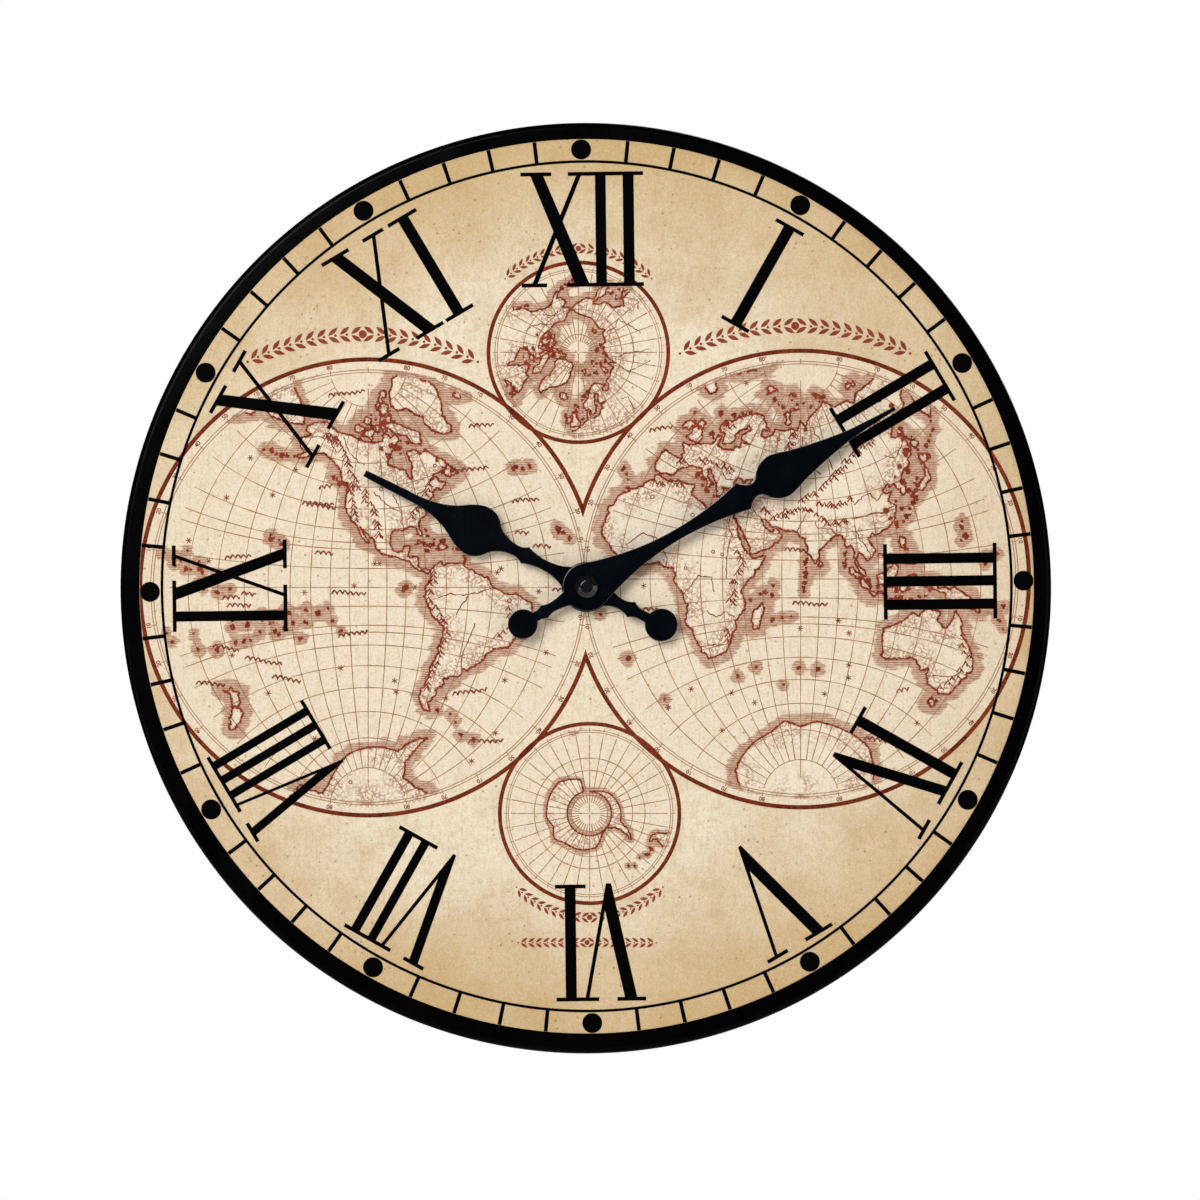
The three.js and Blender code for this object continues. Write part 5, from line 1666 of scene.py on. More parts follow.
    def coasts(self) -> None:
        """Coast lines and rivers."""
        coast, river = [], []
        for shore in self.shores:
            disc = shore.disc
            for loop in shore.loops:
                coast += self.line(disc, loop, self.coast_line * disc.share, closed=True, uneven=0.45)
            coast += [islet for islet in shore.islets if np.hypot(*islet.T).min() > self.hub_clear]
            for corners in RIVERS:
                path = disc.project(stepped(places(corners), self.river_step))
                path = path + self.random.normal(0, self.river_bends, path.shape)
                river += self.line(disc, path, self.river_line * disc.share, uneven=0.4)
        self.printed(coast, "map_coasts", COAST_INK, Layer.COAST)
        self.printed(river, "map_rivers", FINE_INK, Layer.RIVER)

    def marks(self) -> None:
        """Hills and towns on the land, stars and rows of waves on the open sea."""
        land, sea = [], []
        height, rate = self.wave_crest
        swell, slow_rate = self.wave_swell
        for shore in self.shores[:2]:
            disc = shore.disc
            for spot in self.range_spots(shore):
                size = self.random.uniform(*self.hill_size)
                land += self.line(disc, self.peak * size + spot, self.hill_line, uneven=0.3)
                land += self.line(disc, self.flank * size + spot, self.flank_line)
            for spot in self.spots(shore, self.town_count, *self.town_reach):
                town = circle(self.random.uniform(*self.town_radius), self.town_sides, tuple(spot))
                land += self.line(disc, town, self.town_line, closed=True)
            for spot in self.spots(shore, self.star_count, *self.star_reach):
                if np.hypot(*spot) > self.hub_clear + self.mark_clear:
                    lean = self.random.uniform(0, 60)
                    sea += [clockwise(self.star_arm, lean + turn, tuple(spot)) for turn in (0, 60, 120)]
            for spot in self.spots(shore, self.wave_rows, *self.wave_reach):
                along = np.arange(0, self.random.uniform(*self.wave_length), self.wave_step)
                crest = height * np.abs(np.sin(along * rate)) + swell * np.sin(along * slow_rate)
                wave = np.stack([along - along[-1] / 2, crest], axis=1)
                lean = self.random.uniform(-self.wave_lean, self.wave_lean)
                sea += self.line(disc, clockwise(wave, lean, tuple(spot)), self.wave_line, uneven=0.35)
        self.printed(land, "map_hills", COAST_INK, Layer.HILL)
        self.printed(sea, "map_waves", FINE_INK, Layer.WAVE)

    def range_spots(self, shore: Shoreline) -> Array:
        """Places of the hills on a disc.

        Args:
            shore: The disc's coasts.

        Returns:
            Their points on the dial.
        """
        ranges = [stepped(places(corners), self.hill_step) for corners in RANGES]
        found = np.concatenate([shore.disc.project(path) for path in ranges])
        found = found + self.random.normal(0, self.hill_spread, found.shape)
        return found[shore.disc.reach(found) < shore.disc.map_radius - self.hill_clear]

    def spots(self, shore: Shoreline, count: int, least: float, most: float) -> Array:
        """Scattered places on a disc.

        Args:
            shore: The disc's coasts.
            count: How many places are tried.
            least: Least distance to the coast, negative on land.
            most: Most distance to the coast.

        Returns:
            The places that fit.
        """
        disc = shore.disc
        found = self.random.uniform(-disc.map_radius, disc.map_radius, (count, 2)) + disc.centre
        found = found[disc.reach(found) < disc.map_radius - self.spot_clear]
        away = shore.distance(found)
        return found[(away > least) & (away < most)]

    def borders(self) -> None:
        """Thin double rings round each map, with ticks at every ten degrees."""
        shapes = []
        for disc in self.discs:
            inner, outer = disc.map_radius, disc.map_radius + self.border_gap * disc.share
            line = self.border_line * disc.share
            for radius in (inner, outer):
                shapes += strokes(circle(radius, self.circle_sides, disc.centre), line, True)
            for turn in range(0, FULL_TURN, self.grid_step):
                tick = np.array([arc(r, turn, turn, 1, disc.centre)[0] for r in (inner, outer + disc.share)])
                shapes += strokes(tick, line)
        self.printed(shapes, "map_borders", GRID_INK, Layer.BORDER)

    def rings(self) -> None:
        """Heavy rings, those of the half globes joined in a point above and below the hub."""
        shapes = [self.band(self.west, self.east), self.band(self.east, self.west)]
        for disc in (self.north, self.south):
            ring = circle(disc.ring, self.circle_sides, disc.centre)
            shapes += strokes(ring, disc.ring_line, True)
        self.printed(shapes, "map_rings", RING_INK, Layer.RING)

    def band(self, disc: Disc, other: Disc) -> Array:
        """Heavy ring of a half globe, mitred where it meets the other and cut at the sheet's edge.

        Args:
            disc: The half globe.
            other: The half globe beside it.

        Returns:
            Its contour.
        """
        across = np.subtract(other.centre, disc.centre)
        apart = math.hypot(*across)
        heading = math.degrees(math.atan2(across[1], across[0]))
        room, sheet = half_width("dial_print"), middle("dial_print")
        edges = []
        for side, trim in zip((1, -1), self.band_trims):
            radius = disc.ring + side * disc.ring_line / 2
            share = (apart**2 + disc.ring**2 - other.ring**2) / (2 * radius * apart)
            opening = math.degrees(math.acos(share))
            start, end = heading + opening, heading + FULL_TURN - opening
            edge = arc(radius, start, end, self.band_steps, disc.centre) - sheet
            reach = np.hypot(*edge.T)[:, None]
            edges.append(edge * np.minimum(1, (room - trim) / reach) + sheet)
        return np.concatenate([edges[0], edges[1][::-1]])

    def numbers(self) -> None:
        """Degrees of latitude round the half globes."""
        solid = Solid()
        for disc in (self.west, self.east):
            radius = (disc.map_radius + self.border_gap + disc.ring) / 2
            for degrees in range(-80, 81, self.grid_step):
                for turn in (degrees, 180 - degrees):
                    spot = arc(radius, turn, turn, 1, disc.centre)[0]
                    if np.hypot(*spot) > self.hub_clear + self.mark_clear:
                        self.number(solid, str(abs(degrees)), spot, 90 - turn)
        fit(solid.make("map_degrees"), Body.CLOCK, "dial_paper", COAST_INK)

    def number(self, solid: Solid, text: str, spot: Array, turn: float) -> None:
        """Adds a small number.

        Args:
            solid: Where it is added.
            text: Its digits.
            spot: Its middle.
            turn: How far it is turned clockwise, in degrees.
        """
        front = self.front(Layer.FIGURE)
        digits = bpy.data.curves.new("digits", "FONT")
        digits.body = text
        digits.align_x = "CENTER"
        digits.align_y = "CENTER"
        digits.size = self.number_size
        digits.extrude = (front - self.back) / 2
        digits.offset = self.number_weight
        maker = bpy.data.objects.new("digits", digits)
        mesh = bpy.data.meshes.new_from_object(maker)
        points = np.array([v.co for v in mesh.vertices])
        flat = clockwise(points[:, :2], turn, tuple(spot))
        depth = points[:, 2] + (front + self.back) / 2
        solid.add(np.column_stack([flat, depth]), [tuple(p.vertices) for p in mesh.polygons])
        bpy.data.objects.remove(maker)
        bpy.data.curves.remove(digits)
        bpy.data.meshes.remove(mesh)

    def garlands(self) -> None:
        """Rows of leaves over and under the maps."""
        x, y = self.offset
        shapes = self.garland((x + 0.5, y - 129.3), radius=4000, reach=26, leaf=3.2)
        for disc in (self.west, self.east):
            top = (disc.centre[0] - 2, disc.centre[1] + self.garland_radius)
            shapes += self.garland(top, self.garland_radius, reach=43, leaf=5)
        for disc, side in ((self.north, 1), (self.south, -1)):
            radius = side * self.small_garland_radius
            shapes += self.garland((disc.centre[0], disc.centre[1] + radius), radius, reach=29, leaf=3.4)
        self.printed(shapes, "map_garlands", LEAF_INK, Layer.FIGURE)

    def garland(self, top: Point, radius: float, reach: float, leaf: float) -> list[Array]:
        """Paired leaves along an arc, pointing to its middle, with berries at their roots.

        Args:
            top: Middle of the arc.
            radius: Its radius, negative where its ends bend up.
            reach: Half of its length.
            leaf: Length of a leaf.

        Returns:
            Contours of the leaves and the berries.
        """
        outline = np.concatenate([self.half_leaf[::-1], (self.half_leaf * (1, -1))[1:-1]]) * leaf
        shapes = [circle(leaf * self.knot_radius, 14, top)]
        for side in (-1, 1):
            for place in np.arange(leaf * self.first_leaf, reach, leaf * self.leaf_spacing):
                turn = side * place / radius
                spot = tuple(np.array(top) + radius * np.array([math.sin(turn), math.cos(turn) - 1]))
                heading = math.degrees(turn) + (180 if side > 0 else 0)
                shapes += [clockwise(outline, heading + way * self.leaf_lean, spot) for way in (-1, 1)]
                berry = clockwise(np.array([(-leaf * self.berry_drop, 0)]), heading, spot)[0]
                shapes.append(circle(leaf * self.berry_radius, 10, tuple(berry)))
        return shapes


@dataclass
class DialPrint:
    """The paper print: a fine sheet that carries the distance to the nearest coast."""

    maps: WorldMap
    hole: float = 4.9
    edge_soft: float = 0.12
    rings: int = 112
    sides: int = 512
    attribute: str = "coast_distance"

    def build(self) -> None:
        """Makes the sheet as rings from its hole to its edge."""
        back, front = depths("dial_print")
        radius = half_width("dial_print")
        centre = np.array(middle("dial_print"))
        soft = self.edge_soft
        loops = [raised(circle(self.hole, self.sides), back)]
        for share in np.linspace(0, 1, self.rings + 1):
            reach = self.hole + (radius - soft - self.hole) * share
            loops.append(raised(circle(reach, self.sides) + centre * share, front))
        edge = circle(radius, self.sides) + centre
        loops += [raised(edge, front - soft), raised(edge, back)]
        solid = Solid()
        solid.loft(np.array(loops), looped=True)
        piece = solid.make("print_sheet", sharp=50)
        points = np.concatenate(solid.points)
        shown_side = points[:, 2] > front - soft / 2
        away = np.full(len(points), OPEN_SEA)
        away[shown_side] = self.maps.coast_distance(points[shown_side, :2])
        layer = piece.data.attributes.new(self.attribute, "FLOAT", "POINT")
        layer.data.foreach_set("value", away)
        self.dress(piece)

    def dress(self, piece: Piece) -> None:
        """Aged paper with the maps' pale discs."""
        paper = Parchment(
            "parchment", field_tone="e3d6bd", rim_tone="c3a577", stain="b8986a", map_tone="e3d4be",
            land_tone="efe5d4", shade_tone="94543d", shore_tone="8c402c", spot_tone="8f6c40",
            attribute=self.attribute, centre=middle("dial_print"), radius=half_width("dial_print"),
            discs=tuple((disc.centre, disc.ring) for disc in self.maps.discs),
        )
        fit(piece, Body.CLOCK, "dial_paper", paper, nodes=["dial_print"])


@dataclass(frozen=True)
class Numeral:
    """One hour mark, upright, with x from its middle and y from the dial's centre."""

    head: float
    foot: float
    head_bars: tuple[Point, ...]
    foot_bars: tuple[Point, ...]
    stems: tuple[Point, ...] = ()
    slants: tuple[tuple[float, float, float, float], ...] = ()
    vee: tuple[float, ...] | None = None
    bar: float = 1.4

    def shapes(self) -> list[Array]:
        """Contours of its strokes and bars.

        Returns:
            One contour for each stroke.
        """
        found = []
        bars = [(self.head, span) for span in self.head_bars] + [(self.foot, span) for span in self.foot_bars]
        for level, (left, right) in bars:
            low, high = level - self.bar / 2, level + self.bar / 2
            found.append(np.array([(left, low), (right, low), (right, high), (left, high)]))
        for a, b, c, d in [*self.slants, *((left, right, left, right) for left, right in self.stems)]:
            found.append(np.array([(c, self.foot), (d, self.foot), (b, self.head), (a, self.head)]))
        if self.vee:
            outer, inner, thin_inner, thin_outer, left, right, tip = self.vee
            drop = (thin_inner - inner) / ((left - outer) - (right - thin_outer))
            crotch = (inner + (left - outer) * drop, self.head + (tip - self.head) * drop)
            top = self.head
            found.append(np.array([(outer, top), (left, tip), crotch, (inner, top)]))
            found.append(np.array([crotch, (left, tip), (right, tip), (thin_outer, top), (thin_inner, top)]))
        return found


@dataclass
class HourRing:
    """Numerals, hour dots and the minute track, printed in black."""

    turn: float = -0.73
    dot_circle: float = 159.4
    dot_radius: float = 3.65
    track: float = 155.0
    track_line: float = 1.0
    tick_line: float = 1.4
    film: float = 0.06
    edge_trim: float = 0.1
    dot_sides: int = 40
    track_sides: int = 360
    numerals: tuple[Numeral, ...] = (
        Numeral(150.5, 110, ((-5.2, 6.4),), ((-5.2, 6.2),), ((-1.5, 2.7),)),
        Numeral(150, 109.7, ((-10.5, 10.3),), ((-10.5, 10.3),), ((-7.2, -3.3), (3.1, 7))),
        Numeral(149, 109, ((-14, 13.6),), ((-14, 13.6),), ((-10.5, -6.7), (-2.2, 1.6), (6.3, 10.1))),
        Numeral(
            150.8, 110.3, ((-11, 6.6), (13.2, 21.2)), ((-11.3, -0.4),), ((-7.8, -3.8),),
            vee=(-0.7, 3.3, 16.9, 18.2, 8.5, 10.2, 108.5),
        ),
        Numeral(151.7, 110, ((-14, -2.7), (4.8, 13.3)), (), vee=(-10.7, -6.2, 8.9, 10.2, 0, 1.2, 110)),
        Numeral(
            150.7, 109.5, ((-19.8, -9.3), (-2.7, 12.9)), ((1.8, 13),), ((5.5, 9.5),),
            vee=(-16.7, -12.2, 1, 2.4, -7.5, -5.6, 108.5),
        ),
        Numeral(
            151, 110, ((-16.3, -8), (-2.5, 16.7)), ((0.8, 16.7),), ((4, 7.2), (10.7, 14.1)),
            vee=(-13.7, -10.2, 0.4, 1.7, -6.5, -5.3, 109),
        ),
        Numeral(
            150.7, 110.8, ((-18.8, -11), (-6.2, 17)), ((-3.2, 17.3),),
            ((-0.7, 2.3), (5.5, 8.6), (11.5, 14.6)), vee=(-16.5, -13.4, -3.9, -2.8, -9.7, -8.7, 109),
        ),
        Numeral(
            150.5, 110, ((-14.8, 4), (9.3, 16.8)), ((-15, 2), (8, 18.4)), ((-11, -7.3),),
            ((-3.3, 1.2, 11.3, 15.5), (12.3, 13.7, -2.5, -1.1)),
        ),
        Numeral(
            150.7, 110.4, ((-12, -0.5), (5.2, 14.1)), ((-12.2, -2.7), (4, 15.5)), (),
            ((-8.8, -4.2, 7.5, 12.5), (8.9, 10.4, -8.3, -6.7)),
        ),
        Numeral(
            150, 109.5, ((-23.3, -11.9), (-6, 2.7), (4.8, 16.8)), ((-23.3, -14.4), (-7.1, 4.2), (5.4, 16.8)),
            ((8.8, 13),), ((-19.7, -15, -3.7, 1.2), (-2.1, -0.6, -19.6, -18.1)),
        ),
        Numeral(
            150.5, 110, ((-22.3, -11), (-5, 22.5)), ((-22.3, -13), (-5.8, 22.3)), ((4.9, 8.8), (15, 19)),
            ((-18.9, -14.2, -2.7, 2.6), (-1.7, 0.1, -18.6, -16.7)),
        ),
    )

    def build(self) -> None:
        """Prints the numerals, the dots and the track."""
        centre = middle("dial_print")
        edge = half_width("dial_print") - self.edge_trim
        back = depths("dial_print")[1]
        front = back + self.film
        numerals, dots, track = Solid(), Solid(), Solid()
        for hour, numeral in enumerate(self.numerals, start=1):
            angle = hour * FULL_TURN // 12 + self.turn
            numerals.film([clockwise(s, angle, centre) for s in numeral.shapes()], back, front)
            spot = clockwise(np.array([(0, self.dot_circle)]), angle, centre)[0]
            dots.plate(circle(self.dot_radius, self.dot_sides, tuple(spot)), back, front)
        track.ribbon(circle(self.track, self.track_sides, centre), self.track_line, back, front, closed=True)
        for minute in range(60):
            if minute % 5:
                tick = np.array([(0, self.track + self.track_line / 2), (0, edge)])
                angle = minute * FULL_TURN // 60 + self.turn
                track.ribbon(clockwise(tick, angle, centre), self.tick_line, back, front)
        for solid, name in ((numerals, "hour_numerals"), (dots, "hour_dots"), (track, "minute_track")):
            fit(solid.make(name), Body.CLOCK, "dial_paper", BLACK_INK)


Stretch = tuple[float, float, float, float]


@dataclass
class Hand:
    """A spade hand cut from sheet; stretches give a curve's control and end as along and half width."""

    node: str
    body: Body
    angle: float
    hub: float
    tip: Point
    blade: tuple[Stretch, ...]
    root: Stretch
    tail: tuple[Stretch, ...]
    tail_root: float
    ball: Triple
    bore: float
    collar: float = 0
    thickness: float = 0.5
    bevel: float = 0.2
    bore_sides: int = 32
    collar_sides: int = 48
    steps: int = 12

    def half_outline(self) -> Array:
        """Right-hand contour from the tip to the end of the ball.

        Returns:
            Its points as half width and place along the hand.
        """
        points = [self.tip]
        for stretch in (*self.blade, self.root):
            points += self.curve(points[-1], stretch)
        tail_start = (self.tail_root, math.sqrt(self.hub**2 - self.tail_root**2))
        start, end = (math.degrees(math.atan2(y, x)) for y, x in (points[-1], tail_start))
        hub = [(y, x) for x, y in arc(self.hub, start, end, 2 * self.steps)]
        points += hub[1:]
        for stretch in self.tail:
            points += self.curve(points[-1], stretch)
        along, radius, neck = self.ball
        begin = math.degrees(math.acos(neck / radius))
        points += [(y, x) for x, y in arc(radius, begin, -90, 2 * self.steps, (0, along))]
        return np.array([(half, place) for place, half in points])

    def curve(self, start: Point, stretch: Stretch) -> list[Point]:
        """Points of a quadratic curve.

        Args:
            start: Its first point.
            stretch: Its control and its end.

        Returns:
            The points after its start.
        """
        via, end = np.array(stretch[:2]), np.array(stretch[2:])
        shares = [i / self.steps for i in range(1, self.steps + 1)]
        return [tuple((1 - t) ** 2 * np.array(start) + 2 * t * (1 - t) * via + t**2 * end) for t in shares]

    def build(self) -> None:
        """Cuts the hand and presses its collar on."""
        half = self.half_outline()
        left = (half * (-1, 1))[-2::-1]
        outline = clockwise(np.concatenate([half, left])[::-1], self.angle)
        _, front = depths(self.node)
        back = front - self.thickness
        solid = Solid()
        hole = circle(self.bore, self.bore_sides)[::-1]
        solid.plate(outline, back, front, self.bevel, [hole], edge_tint=1)
        if self.collar:
            base = depths(self.node)[0]
            ring = [(self.bore, base), (self.collar, base), (self.collar, back), (self.bore, back)]
            solid.turn(ring, self.collar_sides, hollow=True)
        self.dress(evened(solid.make(self.node + "_blade", sharp=32)))

    def dress(self, piece: Piece) -> None:
        """Satin black paint; glossier on the edges, where a slightly lighter tone is a painted highlight."""
        fit(piece, self.body, "hand_black", HAND_PAINT, HAND_EDGE_PAINTED_HIGHLIGHT, nodes=[self.node])


HOUR_HAND = Hand(
    "hour_hand", Body.HOUR, angle=297.1, hub=9.2, tip=(91, 1.2),
    blade=(
        (80, 1.6, 70, 1.6), (60.3, 1.9, 54, 5.8), (48.6, 9.45, 45, 9.45), (40.9, 9.45, 38.5, 6.2),
        (35.6, 2.3, 29, 2), (26.8, 2, 25.4, 3.4), (22, 1.95, 18, 1.85),
    ),
    root=(11.8, 1.85, 8.2, 4.17),
    tail=((-10.3, 2, -14, 1.95), (-16.4, 1.95, -18.1, 3.2), (-20, 1.8, -22, 1.8)),
    tail_root=-8.4, ball=(-30.4, 6, 1.9), bore=2.6, collar=3.4,
)
MINUTE_HAND = Hand(
    "minute_hand", Body.MINUTE, angle=59.9, hub=8.8, tip=(129.7, 0.7),
    blade=(
        (121, 1.05, 112, 1.65), (101.5, 2.75, 88, 6.25), (82.6, 8.2, 80.7, 8.25), (77, 8.25, 74, 5.15),
        (72.6, 2.5, 70.6, 2.5), (68.4, 2.5, 65.9, 5.45), (52.5, 2.05, 38, 2.05),
    ),
    root=(20.5, 2.05, 2.9, 8.31),
    tail=((-10.8, 2.05, -14.3, 1.85), (-16.5, 1.85, -18, 2.85), (-19.3, 1.9, -20.5, 1.9)),
    tail_root=-8.3, ball=(-27, 5.45, 1.95), bore=1.6,
)


@dataclass
class CapNut:
    """The closed nut over the hands: a straight wall, a domed flank and a flat top."""

    top: float = 2.2
    top_edge: float = 0.1
    pole: float = 0.3
    flank: float = 3.72
    flank_steps: int = 8
    slopes: Point = (25, 40)
    shoulder: tuple[Point, ...] = ((0, 0.45), (0.05, 0.25), (0.16, 0.1))
    soft: float = 0.18
    sides: int = 72

    def build(self) -> None:
        """Turns the nut."""
        back, front = depths("hand_cap_nut")
        radius = half_width("hand_cap_nut")
        dome, height = [], front
        step = (self.flank - self.top) / self.flank_steps
        for index, slope in enumerate(np.radians(np.linspace(*self.slopes, self.flank_steps + 1))):
            dome.append((self.top + index * step, height))
            height -= step * math.tan(slope)
        foot = dome[-1][1]
        wall = [(radius - self.soft, back), (radius, back + self.soft)]
        wall += [(radius - inset, foot - drop) for inset, drop in self.shoulder]
        solid = Solid()
        solid.turn([*wall, *dome[::-1], (self.top - self.top_edge, front), (self.pole, front)], self.sides)
        self.dress(solid.make("cap_nut", sharp=40))

    def dress(self, piece: Piece) -> None:
        """Dark gloss plating."""
        fit(piece, Body.MINUTE, "cap_black", CAP_PAINT, nodes=["hand_cap_nut"])


@dataclass
class FixingStack:
    """Nut, washer and gasket that clamp the board to the movement."""

    soft: float = 0.15
    bore: float = 4.1
    sides: int = 72

    def build(self) -> None:
        """Rounds the nut's corners and turns the two rings."""
        nut = softened("fixing_nut", "board_nut", self.soft, lambda spot: True)
        fit(nut, Body.CLOCK, "brass", BRASS, nodes=["fixing_nut"])
        for node, name, slot, finish in (
            ("fixing_washer", "board_washer", "brass", BRASS),
            ("rubber_gasket", "board_gasket", "gasket_rubber", RUBBER),
        ):
            back, front = depths(node)
            radius = half_width(node)
            soft = min(self.soft, (front - back) / 3)
            edge = [(radius - soft, back), (radius, back + soft)]
            edge += [(radius, front - soft), (radius - soft, front)]
            solid = Solid()
            solid.turn([(self.bore, back), *edge, (self.bore, front)], self.sides, hollow=True)
            fit(solid.make(name), Body.CLOCK, slot, finish, nodes=[node])


@dataclass
class MovementBack:
    """Case, cover and knob at the back, with the marks moulded on them."""

    soft: float = 0.25
    knob_soft: float = 0.1
    outer_share: float = 0.985
    wall_side: float = -1e-4
    relief: float = 0.14
    arrow_radius: float = 7.4
    arrow_line: float = 0.7
    arrow_starts: Point = (20, 200)
    arrow_sweep: float = 115
    arrow_head: tuple[Point, ...] = ((-1.5, 0), (1.5, 0), (0, 2.4))
    corner_inset: float = 5.5
    sign: float = 4.4
    sign_line: float = 0.9
    pin_radius: float = 1.9
    pin_line: float = 0.35

    def build(self) -> None:
        """Rounds the mouldings' edges and adds their marks."""
        wall, outer = self.wall_side, half_width("movement_case") * MM * self.outer_share
        for node, name, body, soft, chosen in (
            ("movement_case", "case_shell", Body.CLOCK, self.soft, lambda s: s.y > wall or abs(s.x) > outer),
            ("rear_cover", "case_cover", Body.CLOCK, self.soft, lambda s: s.y > wall),
            ("setting_knob", "knob", Body.KNOB, self.knob_soft, lambda s: True),
        ):
            fit(softened(node, name, soft, chosen), body, "case_black", CASE_PLASTIC, nodes=[node])
        # The raised marks are painted lighter grey than the case as a painted sheen.
        fit(self.marks(), Body.CLOCK, "case_black", MARK_PLASTIC_PAINTED_SHEEN)

    def marks(self) -> Piece:
        """Arrows round the knob, signs by the battery and ejector rings, raised on the cover.

        Returns:
            All the marks as one piece.
        """
        solid = Solid()
        back, front = -self.relief, 0.0
        knob = middle("setting_knob")
        low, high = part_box("rear_cover")
        left, right, bottom, top = (value / MM for value in (low.x, high.x, low.z, high.z))
        for start in self.arrow_starts:
            end = start + self.arrow_sweep
            solid.ribbon(arc(self.arrow_radius, start, end, 24, knob), self.arrow_line, back, front)
            spot = arc(self.arrow_radius, end, end, 1, knob)[0]
            solid.plate(clockwise(np.array(self.arrow_head), -end, tuple(spot)), back, front)
        inset = self.corner_inset
        plus, minus = np.array([left + inset, bottom + inset]), np.array([right - inset, bottom + inset])
        bar = np.array([(-self.sign / 2, 0), (self.sign / 2, 0)])
        solid.ribbon(bar + plus, self.sign_line, back, front)
        for side in (-1, 1):
            stroke = np.array([(0, side * self.sign_line / 2), (0, side * self.sign / 2)])
            solid.ribbon(stroke + plus, self.sign_line, back, front)
        solid.ribbon(bar + minus, self.sign_line, back, front)
        for spot in ((left + inset, top - inset), (right - inset, top - inset)):
            solid.ribbon(circle(self.pin_radius, 28, spot), self.pin_line, back, front, closed=True)
        return solid.make("cover_marks")


@dataclass
class Cell:
    """The battery: a sleeve rolled over its ends, a stepped cap and a flat base.

    Pairs give how far a corner lies inside the outline and how far from the end.
    """

    pole: float = 0.4
    nub_radius: float = 2.75
    nub_length: float = 1.3
    nub_edge: tuple[Point, ...] = ((0.4, 0), (0, 0.35))
    cap_groove: tuple[Point, ...] = ((2.2, 0), (1.6, 0.25), (1.25, 0.1))
    sleeve_roll: tuple[Point, ...] = ((1, 0), (0.35, 0.05), (0, 0.5))
    base_groove: tuple[Point, ...] = ((1.25, 0.1), (1.6, 0.25), (2.3, 0))
    sides: int = 72

    def build(self) -> None:
        """Turns the cell along its own axis."""
        low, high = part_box("battery")
        left, right = low.x / MM, high.x / MM
        centre = ((low.z + high.z) / 2 / MM, -(low.y + high.y) / 2 / MM)
        radius = (high.z - low.z) / 2 / MM
        face = left + self.nub_length
        cap = [(self.pole, left), *((self.nub_radius - inset, left + drop) for inset, drop in self.nub_edge)]
        cap += [(self.nub_radius, face), *((radius - inset, face + drop) for inset, drop in self.cap_groove)]
        sleeve = [(radius - inset, face + drop) for inset, drop in self.sleeve_roll]
        sleeve += [(radius - inset, right - drop) for inset, drop in self.sleeve_roll[::-1]]
        base = [*((radius - inset, right - drop) for inset, drop in self.base_groove), (self.pole, right)]
        tints = [1] * len(cap) + [0] * (len(sleeve) - 1) + [1] * len(base)
        solid = Solid()
        solid.turn([*cap, *sleeve, *base], self.sides, centre, Axis.ACROSS, tints=tints)
        self.dress(solid.make("cell", sharp=40))

    def dress(self, piece: Piece) -> None:
        """Printed sleeve and bright steel ends."""
        left, right = (corner.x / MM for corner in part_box("battery"))
        jacket = Jacket("cell_jacket", tone="14375c", band="b9bcc0", line="d9dadb", left=left, right=right)
        fit(piece, Body.CELL, "cell_jacket", jacket, CELL_STEEL, nodes=["battery"])


@dataclass
class Train:
    """The solids inside the case, which keep their own shapes."""

    def dress(self) -> None:
        """Gives each solid its finish."""
        for finish, nodes in NODE_FINISHES.items():
            for node in nodes:
                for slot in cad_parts[node].material_slots:
                    slot.material = finish.material()
                LOG.info("%s: %s", node, finish.label)


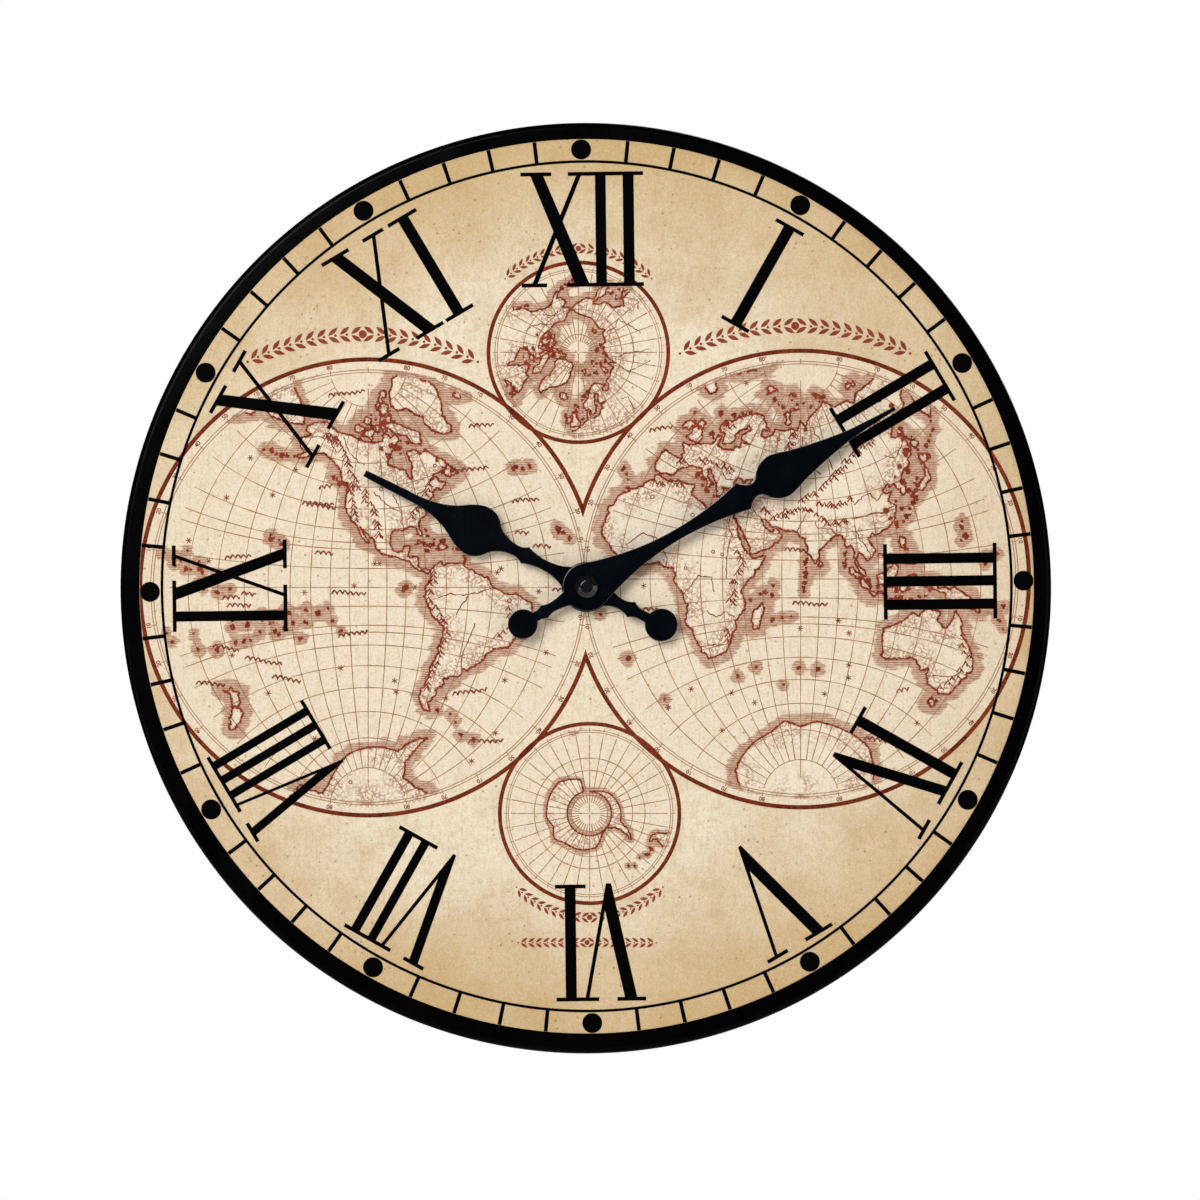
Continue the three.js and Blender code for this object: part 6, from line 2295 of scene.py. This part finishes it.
@dataclass
class Studio:
    """Camera, lights, floor and white surroundings."""

    view_width: float = 437.9
    aim: Point = (5.19, -4.3)
    lens: float = 200
    sensor: float = 36
    floor_level: float = -0.36
    floor_half: float = 0.9
    floor_thickness: float = 0.006
    floor_edge: float = 0.002
    surround: float = 0.1

    def build(self) -> None:
        """Sets up everything that isn't the clock."""
        scene = bpy.context.scene
        scene.view_settings.view_transform = "Standard"
        self.camera(scene)
        self.floor()
        self.white_room(scene)
        self.light("key", (-0.9, -2.2, 0.9), size=1.3, power=53)
        self.light("fill", (1.7, -1.55, -0.75), size=2.3, power=28)
        self.light("low", (-1.6, -1.55, -0.95), size=1.6, power=14)
        self.light("rear", (0.9, 1.5, 1.2), size=1.4, power=60)

    def camera(self, scene: bpy.types.Scene) -> None:
        """Looks straight at the dial from far away.

        Args:
            scene: The scene that is lit and seen.
        """
        data = bpy.data.cameras.new("camera")
        data.lens = self.lens
        data.sensor_width = self.sensor
        camera = bpy.data.objects.new("camera", data)
        x, z = (np.array(middle("dial_board")) + self.aim) * MM
        distance = self.view_width * self.lens / self.sensor + depths("dial_print")[1]
        camera.location = (x, -distance * MM, z)
        camera.rotation_euler = (math.radians(90), 0, 0)
        scene.collection.objects.link(camera)
        scene.camera = camera

    def floor(self) -> None:
        """Pale floor below the clock, with a small step round its edges."""
        mesh = bpy.data.meshes.new("floor")
        shell = bmesh.new()
        size = Vector((2 * self.floor_half, 2 * self.floor_half, self.floor_thickness))
        centre = Vector((0, 0, self.floor_level - self.floor_thickness / 2))
        bmesh.ops.create_cube(shell, size=1, matrix=Matrix.LocRotScale(centre, None, size))
        bmesh.ops.bevel(shell, geom=shell.edges[:], offset=self.floor_edge, segments=2, affect="EDGES")
        shell.to_mesh(mesh)
        shell.free()
        floor = shown("floor", mesh, sharp=40)
        floor.data.materials.append(FLOOR.material())

    def white_room(self, scene: bpy.types.Scene) -> None:
        """White surroundings that light the clock softly.

        Args:
            scene: The scene that is lit and seen.
        """
        scene.world = bpy.data.worlds.new("white_room")
        scene.world.use_nodes = True
        tree = Tree(scene.world.node_tree)
        soft = tree.node("ShaderNodeBackground", {}, {"Color": (1, 1, 1, 1), "Strength": self.surround})
        plain = tree.node("ShaderNodeBackground", {}, {"Color": (1, 1, 1, 1), "Strength": 1.0})
        seen = tree.node("ShaderNodeLightPath", out="Is Camera Ray")
        mixed = tree.node("ShaderNodeMixShader", {}, {0: seen, 1: soft, 2: plain})
        tree.feed(tree.tree.nodes["World Output"], {"Surface": mixed})

    def light(self, name: str, place: Triple, size: float, power: float) -> None:
        """Adds a square soft light that faces the clock.

        Args:
            name: Its name.
            place: Where it stands, in metres.
            size: Its side in metres.
            power: Its power in watts.
        """
        data = bpy.data.lights.new(name, "AREA")
        data.size = size
        data.energy = power
        lamp = bpy.data.objects.new(name, data)
        lamp.location = place
        lamp.rotation_euler = Vector(place).to_track_quat("Z", "Y").to_euler()
        bpy.context.scene.collection.objects.link(lamp)


def main() -> None:
    """Builds the clock and its surroundings."""
    logging.basicConfig(level=logging.INFO, format="%(message)s")
    maps = WorldMap()
    front = (Board(), DialPrint(maps), maps, HourRing(), HOUR_HAND, MINUTE_HAND, CapNut())
    for assembly in (Studio(), *front, FixingStack(), MovementBack(), Cell()):
        assembly.build()
    Train().dress()


if __name__ == "__main__":
    main()
